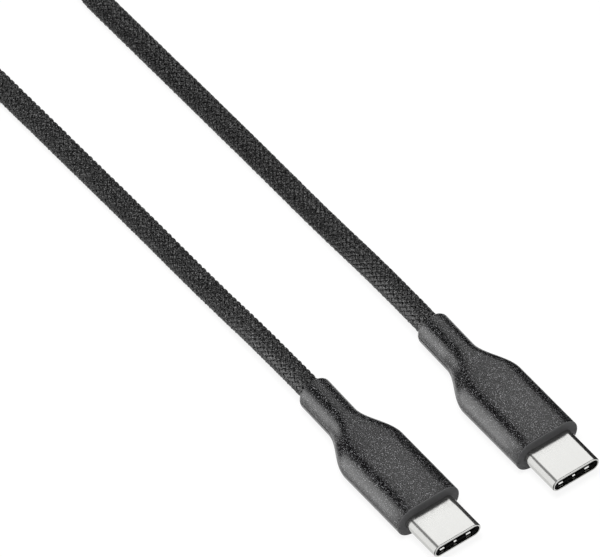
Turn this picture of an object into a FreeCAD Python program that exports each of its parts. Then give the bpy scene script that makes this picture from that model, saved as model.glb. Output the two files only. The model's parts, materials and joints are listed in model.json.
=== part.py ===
import FreeCAD, Part
import math
import os
import Sketcher

# A charging cable with the same plug on both ends, drawn as it lies on a table.
#
# Row frame: +X along the plugs towards their mouths, +Y across them, +Z up. The origin is on
# the table, under the middle of the box round the two plugs.
# Each plug is drawn about its own axis with its mouth at x = 0 and the rest of it at x < 0. A
# depth is a distance back from the mouth. The upper and right halves lie at z > 0 and y > 0.

doc = FreeCAD.newDocument("charging_cable")
sizes = doc.addObject("Spreadsheet::Sheet", "sizes")

DRIVING_SIZES = [
    # where the plugs lie
    ("plug_spacing", 20.5, "between the two plugs' axes"),
    ("plug_shift", 0.6, "how much further forward plug A lies than plug B"),
    # steel shell that goes into the socket
    ("shell_width", 8.25, "outside"),
    ("shell_height", 2.40, "outside"),
    ("shell_wall", 0.25, "sheet thickness"),
    ("shell_reach", 6.65, "length of shell that shows"),
    ("shell_seat", 4.35, "length of shell held inside the plug"),
    # moulded body and strain relief
    ("body_length", 12.7, "straight part behind the front face"),
    ("body_width", 10.6, ""),
    ("body_height", 5.5, ""),
    ("body_flat", 0.1, "flat left on each side between the body's round long edges"),
    ("flare_length", 7.2, "from the body's full width down to the neck"),
    ("neck_length", 7.6, ""),
    ("neck_across", 5.2, "the neck's width and height"),
    ("neck_flat", 0.3, "flat left between the neck's round long edges"),
    ("rim_rounding", 0.9, "on the neck's free end"),
    # contact housing
    ("slip_fit", 0.02, "between the housing and the shell"),
    ("housing_recess", 0.45, "housing's front face behind the mouth"),
    ("housing_inset", 1.5, "housing's back face in front of the shell's"),
    ("slot_side", 0.475, "from the shell's inside to the slot's end"),
    ("slot_depth", 6.2, "slot's floor behind the mouth"),
    # contacts
    ("contact_pitch", 0.5, ""),
    ("contact_width", 0.25, ""),
    ("contact_thickness", 0.12, ""),
    ("contact_point", 3.3, "depth of the crest that touches the tongue"),
    ("contact_drop", 0.14, "how far the crest stands into the slot"),
    ("contact_curl", 0.6, "length of the curled lead-in"),
    ("contact_gap", 0.03, "between the flexing and the held part"),
    ("channel_clearance", 0.05, "on each side of a contact"),
    ("channel_height", 0.36, ""),
    ("channel_end", 0.2, "room in the channel before a contact's front end"),
    ("tail_overlap", 1.8, "length soldered to the card"),
    # side latches
    ("latch_height", 0.5, ""),
    ("latch_thickness", 0.15, ""),
    ("latch_front", 2.2, "depth of the arm's free end"),
    ("latch_root_gap", 0.9, "from the arm's held end to the housing's back"),
    ("latch_root_inset", 0.20, "outer face behind the shell's inside, at the root"),
    ("latch_lean", 0.26, "how much further in the free end stands"),
    ("latch_hook", 0.20, "how far the hook stands in from the arm"),
    ("latch_tip", 1.2, "length of the arm's free end, which lies along the slot"),
    ("latch_hook_back", 0.7, "back of the hook's crest behind the free end"),
    ("latch_hook_front", 0.4, "front of the hook's crest behind the free end"),
    ("latch_clearance", 0.07, "round the arm in its channel"),
    ("latch_window_front", 1.4, "depth where its channel starts"),
    # grounding springs
    ("ground_side", 0.875, "from the shell's inside to the spring's end"),
    ("ground_back", 2.6, "depth of the spring's back edge"),
    ("ground_strip", 0.6, "length of the strip behind the fingers"),
    ("ground_thickness", 0.10, ""),
    ("finger_wide", 0.9, ""),
    ("finger_narrow", 0.6, ""),
    ("finger_inset", 0.7, "middle of a wide finger, in from the spring's end"),
    ("finger_crest", 0.72, "depth of the crest"),
    ("finger_curl", 0.28, "length of the curled tip"),
    ("finger_lead", 0.42, "how far the curled tip goes back from the slot"),
    ("finger_root", 0.10, "length of a finger that runs into the strip"),
    ("finger_drop", 0.43, "how far a crest dips below the spring"),
    ("finger_clearance", 0.1, "round a finger in its notch"),
    # circuit card and what is on it
    ("card_gap", 0.3, "between the housing and the card"),
    ("card_length", 6.2, ""),
    ("card_side", 0.475, "from the shell's inside to the card's edge"),
    ("card_thickness", 0.8, ""),
    ("capacitor_set", 2.2, "behind the card's front edge"),
    ("capacitor_length", 1.0, ""),
    ("capacitor_width", 0.5, ""),
    ("capacitor_height", 0.5, ""),
    ("capacitor_side", 2.4, "from the middle of the card"),
    ("core_diameter", 0.6, "insulated conductor"),
    ("core_pitch", 0.7, ""),
    ("core_set", 3.4, "cores' soldered ends behind the card's front edge"),
    # screening can and inner mould
    ("can_overlap", 2.0, "how far it grips the shell"),
    ("can_length", 9.0, ""),
    ("can_side", 0.325, "how far its sides stand beyond the shell's"),
    ("can_top", 0.3, "how far its top and bottom stand beyond the shell's"),
    ("can_corner", 1.2, "outside"),
    ("can_wall", 0.2, ""),
    ("can_hole_room", 0.35, "beside the outer cores in the can's hole"),
    ("mould_gap", 0.2, "from the contact tails to the inner mould"),
    # crimp and cable end
    ("ferrule_length", 3.5, ""),
    ("ferrule_diameter", 4.2, "outside"),
    ("jacket_diameter", 3.0, "of the jacket under the braid"),
    ("cord_diameter", 3.5, "over the braid"),
    # coil of put-away cable
    ("coil_x", -136.0, "middle of the coil"),
    ("coil_y", 1.0, ""),
    ("coil_radius", 24.3, "outermost turn, to the middle of the cord"),
    ("coil_gap", 0.45, "left between neighbouring turns"),
]

for row, (name, value, note) in enumerate(DRIVING_SIZES, start=1):
    sizes.set("A%d" % row, name)
    sizes.set("B%d" % row, str(value))
    sizes.set("C%d" % row, note)
    sizes.setAlias("B%d" % row, name)
doc.recompute()


def number(expression):
    """Value of an expression written in the sheet's aliases."""
    result = sizes.evalExpression(expression)
    return float(getattr(result, "Value", result))


# Sizes that follow from the driving ones
SHELL_INSIDE_WIDTH = "(sizes.shell_width - 2 * sizes.shell_wall)"
SHELL_INSIDE_HEIGHT = "(sizes.shell_height - 2 * sizes.shell_wall)"
HOUSING_WIDTH = "(%s - 2 * sizes.slip_fit)" % SHELL_INSIDE_WIDTH
HOUSING_HEIGHT = "(%s - 2 * sizes.slip_fit)" % SHELL_INSIDE_HEIGHT
SHELL_BACK = "(sizes.shell_reach + sizes.shell_seat)"
HOUSING_BACK = "(%s - sizes.housing_inset)" % SHELL_BACK
SLOT_END = "(%s / 2 - sizes.slot_side)" % SHELL_INSIDE_WIDTH
CARD_FACE = "(sizes.card_thickness / 2)"
CARD_EDGE = "(%s / 2 - sizes.card_side)" % SHELL_INSIDE_WIDTH
CARD_FRONT = "(%s + sizes.card_gap)" % HOUSING_BACK
CAPACITOR_FRONT = "(%s + sizes.capacitor_set)" % CARD_FRONT
CORE_FRONT = "(%s + sizes.core_set)" % CARD_FRONT
MOULD_FRONT = "(%s + sizes.tail_overlap + sizes.mould_gap)" % CARD_FRONT
CAN_FRONT = "(%s - sizes.can_overlap)" % SHELL_BACK
CAN_BACK = "(%s + sizes.can_length)" % CAN_FRONT
CAN_WIDTH = "(sizes.shell_width + 2 * sizes.can_side)"
CAN_HEIGHT = "(sizes.shell_height + 2 * sizes.can_top)"
CAN_HOLE = "(2 * (sizes.core_pitch + sizes.core_diameter / 2 + sizes.can_hole_room))"
CAVITY_BACK = "(%s - sizes.can_wall)" % CAN_BACK
CAVITY_WIDTH = "(%s - 2 * sizes.can_wall)" % CAN_WIDTH
CAVITY_HEIGHT = "(%s - 2 * sizes.can_wall)" % CAN_HEIGHT
CAVITY_CORNER = "(sizes.can_corner - sizes.can_wall)"
FERRULE_BACK = "(%s + sizes.ferrule_length)" % CAN_BACK
FLARE_FRONT = "(sizes.shell_reach + sizes.body_length)"
NECK_FRONT = "(%s + sizes.flare_length)" % FLARE_FRONT
RIM = "(%s + sizes.neck_length)" % NECK_FRONT
BODY_CORNER = "((sizes.body_height - sizes.body_flat) / 2)"
NECK_CORNER = "((sizes.neck_across - sizes.neck_flat) / 2)"
GROUND_FACE = "(%s / 2 - sizes.ground_thickness)" % HOUSING_HEIGHT
GROUND_END = "(%s / 2 - sizes.ground_side)" % SHELL_INSIDE_WIDTH
STRIP_FRONT = "(sizes.ground_back - sizes.ground_strip)"
FINGER_OFFSET = "(%s - sizes.finger_inset)" % GROUND_END
FINGER_TIP = "(sizes.finger_crest - sizes.finger_curl)"
LATCH_ROOT = "(%s - sizes.latch_root_gap)" % HOUSING_BACK
LATCH_ROOT_FACE = "(%s / 2 - sizes.latch_root_inset)" % SHELL_INSIDE_WIDTH
LATCH_INNER_FACE = "(%s - sizes.latch_thickness)" % LATCH_ROOT_FACE
CHANNEL_WIDTH = "(sizes.contact_width + 2 * sizes.channel_clearance)"
CHANNEL_FRONT = "(sizes.contact_point - sizes.contact_curl - sizes.channel_end)"

# Contact positions across the plug, in half pitches from the middle, seen from the mouth
UPPER_PINS = (-11, -5, -3, -1, 1, 5, 11)
LOWER_PINS = (-11, -5, 3, 5, 11)
# Cores on the card's upper and lower face, in core pitches from the middle
UPPER_CORES = (-1.0, 0.0, 1.0)
LOWER_CORES = (-0.5, 0.5)
# Steps of the flare, as shares of its length
FLARE_STEPS = (0.0, 0.1, 0.3, 0.5, 0.7, 0.9, 1.0)
# Two coordinates this close, in millimetres, are one place
SAME_PLACE = 0.001

YZ = FreeCAD.Rotation(FreeCAD.Vector(1, 1, 1), 120)
XZ = FreeCAD.Rotation(FreeCAD.Vector(1, 0, 0), 90)

# Sketch outlines, each held by constraints that follow the sheet


def held(kind, item, point, expression):
    """Constraint that holds one coordinate of a point from the sketch's origin."""
    constraint = Sketcher.Constraint(kind, -1, 1, item, point, number(expression))
    constraint.Name = "%s%d_%d" % (kind[-1].lower(), item, point)
    return constraint, expression


def radius_of(item, expression):
    constraint = Sketcher.Constraint("Radius", item, number(expression))
    constraint.Name = "radius%d" % item
    return constraint, expression


def constrain(sketch, plain, bound):
    """Add plain constraints, and those whose value follows an expression."""
    sketch.addConstraint(plain + [constraint for constraint, _ in bound])
    for constraint, expression in bound:
        sketch.setExpression("Constraints." + constraint.Name, expression)


def draw_polygon(sketch, corners):
    """Straight-sided outline, each corner a pair of expressions."""
    first = sketch.GeometryCount
    count = len(corners)
    spots = [FreeCAD.Vector(number(x), number(y), 0) for x, y in corners]
    sketch.addGeometry([Part.LineSegment(start, end)
                        for start, end in zip(spots, spots[1:] + spots[:1])], False)
    plain = [Sketcher.Constraint("Coincident", first + i, 2, first + (i + 1) % count, 1)
             for i in range(count)]
    bound = []
    for i, (x, y) in enumerate(corners):
        bound.append(held("DistanceX", first + i, 1, x))
        bound.append(held("DistanceY", first + i, 1, y))
    constrain(sketch, plain, bound)


def draw_box(sketch, low_x, high_x, low_y, high_y):
    draw_polygon(sketch, [(low_x, low_y), (high_x, low_y), (high_x, high_y), (low_x, high_y)])


def draw_circle(sketch, diameter, x="0", y="0"):
    centre = FreeCAD.Vector(number(x), number(y), 0)
    radius = "(%s) / 2" % diameter
    item = sketch.addGeometry(Part.Circle(centre, FreeCAD.Vector(0, 0, 1), number(radius)), False)
    constrain(sketch, [], [radius_of(item, radius),
                           held("DistanceX", item, 3, x),
                           held("DistanceY", item, 3, y)])


def joined_arcs(sketch, arcs, radius):
    """Join arcs of one radius, in order, by lines that touch them smoothly."""
    plain = [Sketcher.Constraint("Equal", arcs[0], arc) for arc in arcs[1:]]
    for arc, following in zip(arcs, arcs[1:] + arcs[:1]):
        start = sketch.getPoint(arc, 2)
        end = sketch.getPoint(following, 1)
        line = sketch.addGeometry(Part.LineSegment(start, end), False)
        plain.append(Sketcher.Constraint("Tangent", arc, 2, line, 1))
        plain.append(Sketcher.Constraint("Tangent", line, 2, following, 1))
    return plain, [radius_of(arcs[0], radius)]


def draw_rounded(sketch, width, height, corner):
    """Rectangle with round corners about the sketch's origin."""
    radius = number(corner)
    arcs = []
    centres = []
    for side_x, side_y, start in ((1, 1, 0), (-1, 1, 90), (-1, -1, 180), (1, -1, 270)):
        x = "%d * ((%s) / 2 - (%s))" % (side_x, width, corner)
        y = "%d * ((%s) / 2 - (%s))" % (side_y, height, corner)
        circle = Part.Circle(FreeCAD.Vector(number(x), number(y), 0), FreeCAD.Vector(0, 0, 1), radius)
        arc = Part.ArcOfCircle(circle, math.radians(start), math.radians(start + 90))
        arcs.append(sketch.addGeometry(arc, False))
        centres.append(held("DistanceX", arcs[-1], 3, x))
        centres.append(held("DistanceY", arcs[-1], 3, y))
    plain, bound = joined_arcs(sketch, arcs, corner)
    constrain(sketch, plain, bound + centres)


def draw_stadium(sketch, width, height):
    """Slot shape with full-round ends about the sketch's origin."""
    end_radius = "(%s) / 2" % height
    arcs = []
    centres = []
    for side, start in ((1, -90), (-1, 90)):
        x = "%d * ((%s) - (%s)) / 2" % (side, width, height)
        circle = Part.Circle(FreeCAD.Vector(number(x), 0, 0), FreeCAD.Vector(0, 0, 1), number(end_radius))
        arc = Part.ArcOfCircle(circle, math.radians(start), math.radians(start + 180))
        arcs.append(sketch.addGeometry(arc, False))
        centres.append(held("DistanceX", arcs[-1], 3, x))
        centres.append(held("DistanceY", arcs[-1], 3, "0"))
    plain, bound = joined_arcs(sketch, arcs, end_radius)
    constrain(sketch, plain, bound + centres)


# Features


def body_sketch(body, name, role, offset, draw):
    """Sketch on one of a body's own planes, moved along the plane's normal."""
    sketch = body.newObject("Sketcher::SketchObject", name)
    plane = [item for item in body.Origin.OriginFeatures if item.Role == role][0]
    sketch.AttachmentSupport = [(plane, "")]
    sketch.MapMode = "FlatFace"
    sketch.setExpression("AttachmentOffset.Base.z", offset)
    draw(sketch)
    return sketch


def cross_sketch(body, name, depth, draw):
    """Sketch across the plug at a depth behind the mouth."""
    return body_sketch(body, name, "YZ_Plane", "-(%s)" % depth, draw)


def back_pad(body, sketch, length):
    pad = body.newObject("PartDesign::Pad", sketch.Name + "_pad")
    pad.Profile = sketch
    pad.Reversed = True
    pad.setExpression("Length", length)
    return pad


def pocket(body, sketch, length, both_ways=False):
    """Cut backwards from the sketch, away from the mouth, or to both sides of it."""
    cut = body.newObject("PartDesign::Pocket", sketch.Name + "_pocket")
    cut.Profile = sketch
    cut.Midplane = both_ways
    cut.setExpression("Length", length)
    return cut


def free_extrusion(name, rotation, start, length, draw, both_ways=False):
    """Outline swept straight along its normal, or along -X where it lies across the plug."""
    sketch = doc.addObject("Sketcher::SketchObject", name + "_outline")
    sketch.Placement = FreeCAD.Placement(FreeCAD.Vector(0, 0, 0), rotation)
    if start is not None:
        sketch.setExpression("Placement.Base.x", "-(%s)" % start)
    draw(sketch)
    bar = doc.addObject("Part::Extrusion", name)
    bar.Base = sketch
    bar.DirMode = "Normal"
    bar.Reversed = not both_ways
    bar.Symmetric = both_ways
    bar.Solid = True
    bar.setExpression("LengthFwd", length)
    return bar


# Finished sub-parts, by the name of their file

finished = {}


def finish(piece, name, plug=None):
    """Give a sub-part its name and, on a plug, the plug's place."""
    piece.Label = name
    if plug is not None:
        half_length = "(%s) / 2" % RIM
        piece.setExpression("Placement.Base.x",
                            "%s + %d * sizes.plug_shift / 2" % (half_length, plug["side"]))
        piece.setExpression("Placement.Base.y", "%d * sizes.plug_spacing / 2" % plug["side"])
        piece.setExpression("Placement.Base.z", "sizes.body_height / 2")
    finished[name] = piece


def new_body(plug, part):
    return doc.addObject("PartDesign::Body", "%s_%s_body" % (plug["name"], part))


# The plug's pieces


def make_overmould(plug):
    """Outer body, flare and strain relief in one moulding, hollow where the rest sits."""
    body = new_body(plug, "overmould")
    prefix = plug["name"] + "_overmould_"
    front = cross_sketch(body, prefix + "front", "sizes.shell_reach", lambda sketch: draw_rounded(
        sketch, "sizes.body_width", "sizes.body_height", BODY_CORNER))
    back_pad(body, front, "sizes.body_length")

    sections = []
    for index, share in enumerate(FLARE_STEPS):
        ease = share * share * (3 - 2 * share)
        width = "(sizes.body_width + %.6f * (sizes.neck_across - sizes.body_width))" % ease
        height = "(sizes.body_height + %.6f * (sizes.neck_across - sizes.body_height))" % ease
        corner = "(%s + %.6f * (%s - %s))" % (BODY_CORNER, ease, NECK_CORNER, BODY_CORNER)
        depth = "%s + %.6f * sizes.flare_length" % (FLARE_FRONT, share)
        sections.append(cross_sketch(
            body, "%sflare_%d" % (prefix, index), depth,
            lambda sketch: draw_rounded(sketch, width, height, corner)))
    loft = body.newObject("PartDesign::AdditiveLoft", prefix + "flare")
    loft.Profile = sections[0]
    loft.Sections = sections[1:]
    loft.Ruled = False

    neck = cross_sketch(body, prefix + "neck", NECK_FRONT, lambda sketch: draw_rounded(
        sketch, "sizes.neck_across", "sizes.neck_across", NECK_CORNER))
    last = back_pad(body, neck, "sizes.neck_length")
    doc.recompute()

    rim_x = -number(RIM)
    rim_edges = ["Edge%d" % (i + 1) for i, edge in enumerate(last.Shape.Edges)
                 if all(abs(corner.X - rim_x) < SAME_PLACE for corner in edge.Vertexes)]
    rounding = body.newObject("PartDesign::Fillet", prefix + "rim")
    rounding.Base = (last, rim_edges)
    rounding.setExpression("Radius", "sizes.rim_rounding")

    hole = cross_sketch(body, prefix + "shell_hole", "sizes.shell_reach",
                        lambda sketch: draw_stadium(sketch, "sizes.shell_width", "sizes.shell_height"))
    pocket(body, hole, "%s - sizes.shell_reach" % CAN_FRONT)
    cavity = cross_sketch(body, prefix + "can_cavity", CAN_FRONT, lambda sketch: draw_rounded(
        sketch, CAN_WIDTH, CAN_HEIGHT, "sizes.can_corner"))
    pocket(body, cavity, "sizes.can_length")
    seat = cross_sketch(body, prefix + "ferrule_seat", CAN_BACK,
                        lambda sketch: draw_circle(sketch, "sizes.ferrule_diameter"))
    pocket(body, seat, "sizes.ferrule_length")
    bore = cross_sketch(body, prefix + "cord_bore", FERRULE_BACK,
                        lambda sketch: draw_circle(sketch, "sizes.cord_diameter"))
    pocket(body, bore, "%s - %s" % (RIM, FERRULE_BACK))
    finish(body, plug["name"] + "_overmould", plug)


def make_shell(plug):
    """Drawn steel tube of slot section, open at both ends."""
    body = new_body(plug, "shell")
    prefix = plug["name"] + "_shell_"
    outside = cross_sketch(body, prefix + "outside", "0", lambda sketch: draw_stadium(
        sketch, "sizes.shell_width", "sizes.shell_height"))
    back_pad(body, outside, SHELL_BACK)
    inside = cross_sketch(body, prefix + "inside", "0", lambda sketch: draw_stadium(
        sketch, SHELL_INSIDE_WIDTH, SHELL_INSIDE_HEIGHT))
    pocket(body, inside, SHELL_BACK)
    finish(body, plug["name"] + "_shell", plug)


def draw_pins(sketch, pins, side, width, low, high):
    """One box for each contact, above the middle for side 1 and below it for side -1."""
    near, far = ("%d * (%s)" % (side, level) for level in (low, high))
    for pin in pins:
        middle = "%d * sizes.contact_pitch / 2" % pin
        draw_box(sketch, "%s - (%s) / 2" % (middle, width), "%s + (%s) / 2" % (middle, width), near, far)


def draw_fingers(sketch, side, room, low, high):
    """One box for each finger of a grounding spring, wider by the room on each side."""
    near, far = ("%d * (%s)" % (side, level) for level in (low, high))
    for place, width in ((-1, "sizes.finger_wide"), (0, "sizes.finger_narrow"), (1, "sizes.finger_wide")):
        middle = "%d * %s" % (place, FINGER_OFFSET)
        reach = "(%s / 2 + %s)" % (width, room)
        draw_box(sketch, "%s - %s" % (middle, reach), "%s + %s" % (middle, reach), near, far)


def make_housing(plug):
    """Black insulator with the tongue slot, a channel for each contact and each latch."""
    body = new_body(plug, "housing")
    prefix = plug["name"] + "_housing_"
    block = cross_sketch(body, prefix + "block", "sizes.housing_recess",
                         lambda sketch: draw_stadium(sketch, HOUSING_WIDTH, HOUSING_HEIGHT))
    back_pad(body, block, "%s - sizes.housing_recess" % HOUSING_BACK)
    slot = cross_sketch(body, prefix + "slot", "sizes.housing_recess", lambda sketch: draw_box(
        sketch, "-" + SLOT_END, SLOT_END, "-" + CARD_FACE, CARD_FACE))
    pocket(body, slot, "sizes.slot_depth - sizes.housing_recess")

    channel_top = "(%s + sizes.channel_height)" % CARD_FACE
    for word, side, pins in (("upper", 1, UPPER_PINS), ("lower", -1, LOWER_PINS)):
        channels = cross_sketch(
            body, prefix + word + "_channels", CHANNEL_FRONT,
            lambda sketch: draw_pins(sketch, pins, side, CHANNEL_WIDTH, CARD_FACE, channel_top))
        pocket(body, channels, "%s - %s" % (HOUSING_BACK, CHANNEL_FRONT))
        recess = cross_sketch(
            body, prefix + word + "_recess", "sizes.housing_recess",
            lambda sketch: draw_box(sketch, "-" + GROUND_END, GROUND_END,
                                    "%d * %s" % (side, GROUND_FACE), "%d * %s" % (side, HOUSING_HEIGHT)))
        pocket(body, recess, "sizes.ground_back - sizes.housing_recess")
        notches = cross_sketch(
            body, prefix + word + "_notches", "sizes.housing_recess",
            lambda sketch: draw_fingers(sketch, side, "sizes.finger_clearance", "0.0", GROUND_FACE))
        pocket(body, notches, "%s + sizes.finger_clearance - sizes.housing_recess" % STRIP_FRONT)

    for word, side in (("right", 1), ("left", -1)):
        channel = body_sketch(
            body, prefix + word + "_latch_channel", "XY_Plane", "0",
            lambda sketch: draw_box(sketch, "-(%s + sizes.latch_clearance)" % LATCH_ROOT,
                                    "-sizes.latch_window_front",
                                    "%d * (%s - sizes.latch_clearance)" % (side, SLOT_END),
                                    "%d * %s" % (side, HOUSING_WIDTH)))
        pocket(body, channel, "sizes.latch_height + 2 * sizes.latch_clearance", both_ways=True)
    finish(body, plug["name"] + "_contact_housing", plug)


def make_contacts(plug):
    """Two rows of gilt contacts: the flexing ends and the tails soldered to the card."""
    for word, side, pins in (("upper", 1, UPPER_PINS), ("lower", -1, LOWER_PINS)):
        prefix = "%s_%s_contact_" % (plug["name"], word)
        top = "(%s + sizes.contact_thickness)" % CARD_FACE
        crest = "(%s - sizes.contact_drop)" % CARD_FACE
        profile = [
            ("-sizes.slot_depth", CARD_FACE),
            ("-sizes.contact_point", crest),
            ("-(sizes.contact_point - sizes.contact_curl)", CARD_FACE),
            ("-(sizes.contact_point - sizes.contact_curl)", top),
            ("-sizes.contact_point", "%s + sizes.contact_thickness" % crest),
            ("-sizes.slot_depth", top),
        ]
        bend = free_extrusion(
            prefix + "bend", XZ, None, "sizes.shell_width",
            lambda sketch: draw_polygon(sketch, [(x, "%d * (%s)" % (side, z)) for x, z in profile]),
            both_ways=True)
        comb = free_extrusion(
            prefix + "comb", YZ, "0", "sizes.slot_depth",
            lambda sketch: draw_pins(sketch, pins, side, "sizes.contact_width",
                                     "%s / 2" % crest, "%s + sizes.contact_width" % top))
        springs = doc.addObject("Part::Common", prefix + "spring_set")
        springs.Base = bend
        springs.Tool = comb
        finish(springs, prefix + "springs", plug)
        tails = free_extrusion(
            prefix + "tail_set", YZ, "sizes.slot_depth + sizes.contact_gap",
            "%s + sizes.tail_overlap - sizes.slot_depth - sizes.contact_gap" % CARD_FRONT,
            lambda sketch: draw_pins(sketch, pins, side, "sizes.contact_width", CARD_FACE, top))
        finish(tails, prefix + "tails", plug)


def make_latches(plug):
    """Steel arm on each side of the slot, with a hook that grips the socket's tongue."""
    for word, side in (("right", 1), ("left", -1)):
        prefix = "%s_%s_latch" % (plug["name"], word)
        body = doc.addObject("PartDesign::Body", prefix + "_body")
        lean = "(%s - sizes.latch_lean)" % LATCH_INNER_FACE
        hook = "(%s - sizes.latch_hook)" % lean
        outline = [
            ("-" + LATCH_ROOT, LATCH_ROOT_FACE),
            ("-" + LATCH_ROOT, LATCH_INNER_FACE),
            ("-(sizes.latch_front + sizes.latch_tip)", lean),
            ("-(sizes.latch_front + sizes.latch_hook_back)", hook),
            ("-(sizes.latch_front + sizes.latch_hook_front)", hook),
            ("-sizes.latch_front", lean),
            ("-sizes.latch_front", "%s + sizes.latch_thickness" % lean),
            ("-(sizes.latch_front + sizes.latch_tip)", "%s + sizes.latch_thickness" % lean),
        ]
        arm = body_sketch(body, prefix + "_outline", "XY_Plane", "0", lambda sketch: draw_polygon(
            sketch, [(x, "%d * (%s)" % (side, y)) for x, y in outline]))
        pad = body.newObject("PartDesign::Pad", prefix + "_pad")
        pad.Profile = arm
        pad.Midplane = True
        pad.setExpression("Length", "sizes.latch_height")
        finish(body, prefix, plug)


def make_ground_springs(plug):
    """Steel strip above and below the slot, with three fingers bent into it."""
    for word, side in (("upper", 1), ("lower", -1)):
        prefix = "%s_%s_ground_" % (plug["name"], word)
        crest = "(%s - sizes.finger_drop)" % GROUND_FACE
        tip = "(%s + sizes.finger_lead)" % crest
        root = "(%s + sizes.finger_root)" % STRIP_FRONT
        profile = [
            ("-" + root, GROUND_FACE),
            ("-sizes.finger_crest", crest),
            ("-" + FINGER_TIP, tip),
            ("-(%s + sizes.ground_thickness)" % FINGER_TIP, tip),
            ("-sizes.finger_crest", "%s + sizes.ground_thickness" % crest),
            ("-" + STRIP_FRONT, "%s + sizes.ground_thickness" % GROUND_FACE),
            ("-" + root, "%s + sizes.ground_thickness" % GROUND_FACE),
        ]
        bend = free_extrusion(
            prefix + "bend", XZ, None, "sizes.shell_width",
            lambda sketch: draw_polygon(sketch, [(x, "%d * (%s)" % (side, z)) for x, z in profile]),
            both_ways=True)
        comb = free_extrusion(
            prefix + "comb", YZ, "0", "sizes.ground_back",
            lambda sketch: draw_fingers(sketch, side, "0.0", "%s / 2" % crest, HOUSING_HEIGHT))
        fingers = doc.addObject("Part::Common", prefix + "fingers")
        fingers.Base = bend
        fingers.Tool = comb
        strip = free_extrusion(
            prefix + "strip", YZ, STRIP_FRONT, "sizes.ground_strip",
            lambda sketch: draw_box(
                sketch, "-" + GROUND_END, GROUND_END,
                "%d * %s" % (side, GROUND_FACE),
                "%d * (%s + sizes.ground_thickness)" % (side, GROUND_FACE)))
        spring = doc.addObject("Part::Fuse", prefix + "one_piece")
        spring.Base = strip
        spring.Tool = fingers
        finish(spring, prefix + "spring", plug)


def draw_cores(sketch):
    height = "(%s + sizes.core_diameter / 2)" % CARD_FACE
    for side, places in ((1, UPPER_CORES), (-1, LOWER_CORES)):
        for place in places:
            draw_circle(sketch, "sizes.core_diameter", "%.1f * sizes.core_pitch" % place,
                        "%d * %s" % (side, height))


def make_electronics(plug):
    """Circuit card between the contact tails and the cable's cores, with its capacitor."""
    body = new_body(plug, "card")
    card = cross_sketch(body, plug["name"] + "_card", CARD_FRONT, lambda sketch: draw_box(
        sketch, "-" + CARD_EDGE, CARD_EDGE, "-" + CARD_FACE, CARD_FACE))
    back_pad(body, card, "sizes.card_length")
    finish(body, plug["name"] + "_paddle_card", plug)

    chip = doc.addObject("PartDesign::Body", plug["name"] + "_capacitor_body")
    block = cross_sketch(
        chip, plug["name"] + "_capacitor", CAPACITOR_FRONT,
        lambda sketch: draw_box(
            sketch, "sizes.capacitor_side - sizes.capacitor_width / 2",
            "sizes.capacitor_side + sizes.capacitor_width / 2",
            CARD_FACE, "%s + sizes.capacitor_height" % CARD_FACE))
    back_pad(chip, block, "sizes.capacitor_length")
    finish(chip, plug["name"] + "_bypass_capacitor", plug)

    cores = free_extrusion(plug["name"] + "_core_set", YZ, CORE_FRONT,
                           "%s - %s" % (CAN_BACK, CORE_FRONT), draw_cores)
    finish(cores, plug["name"] + "_core_wires", plug)


def make_can(plug):
    """Screening can pushed over the back of the shell, with a hole for the cores."""
    body = new_body(plug, "can")
    prefix = plug["name"] + "_can_"
    outside = cross_sketch(body, prefix + "outside", CAN_FRONT, lambda sketch: draw_rounded(
        sketch, CAN_WIDTH, CAN_HEIGHT, "sizes.can_corner"))
    back_pad(body, outside, "sizes.can_length")
    collar = cross_sketch(body, prefix + "collar", CAN_FRONT, lambda sketch: draw_stadium(
        sketch, "sizes.shell_width", "sizes.shell_height"))
    pocket(body, collar, "sizes.can_overlap")
    cavity = cross_sketch(body, prefix + "cavity", SHELL_BACK, lambda sketch: draw_rounded(
        sketch, CAVITY_WIDTH, CAVITY_HEIGHT, CAVITY_CORNER))
    pocket(body, cavity, "%s - %s" % (CAVITY_BACK, SHELL_BACK))
    hole = cross_sketch(body, prefix + "hole", CAVITY_BACK,
                        lambda sketch: draw_circle(sketch, CAN_HOLE))
    pocket(body, hole, "sizes.can_wall")
    finish(body, plug["name"] + "_rear_shield", plug)


def make_inner_mould(plug):
    """Plastic cast round the card and the cores inside the can."""
    body = new_body(plug, "mould")
    prefix = plug["name"] + "_mould_"
    block = cross_sketch(body, prefix + "block", MOULD_FRONT, lambda sketch: draw_rounded(
        sketch, CAVITY_WIDTH, CAVITY_HEIGHT, CAVITY_CORNER))
    back_pad(body, block, "%s - %s" % (CAVITY_BACK, MOULD_FRONT))
    card = cross_sketch(body, prefix + "card_slot", MOULD_FRONT, lambda sketch: draw_box(
        sketch, "-" + CARD_EDGE, CARD_EDGE, "-" + CARD_FACE, CARD_FACE))
    pocket(body, card, "%s + sizes.card_length - %s" % (CARD_FRONT, MOULD_FRONT))
    chip = cross_sketch(
        body, prefix + "capacitor_pocket", MOULD_FRONT,
        lambda sketch: draw_box(
            sketch, "sizes.capacitor_side - sizes.capacitor_width / 2",
            "sizes.capacitor_side + sizes.capacitor_width / 2",
            "-%s / 2" % CARD_FACE, "%s + sizes.capacitor_height" % CARD_FACE))
    pocket(body, chip, "%s + sizes.capacitor_length - %s" % (CAPACITOR_FRONT, MOULD_FRONT))
    cores = cross_sketch(body, prefix + "core_holes", CORE_FRONT, draw_cores)
    pocket(body, cores, "%s - %s" % (CAVITY_BACK, CORE_FRONT))
    finish(body, plug["name"] + "_inner_mould", plug)


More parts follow.
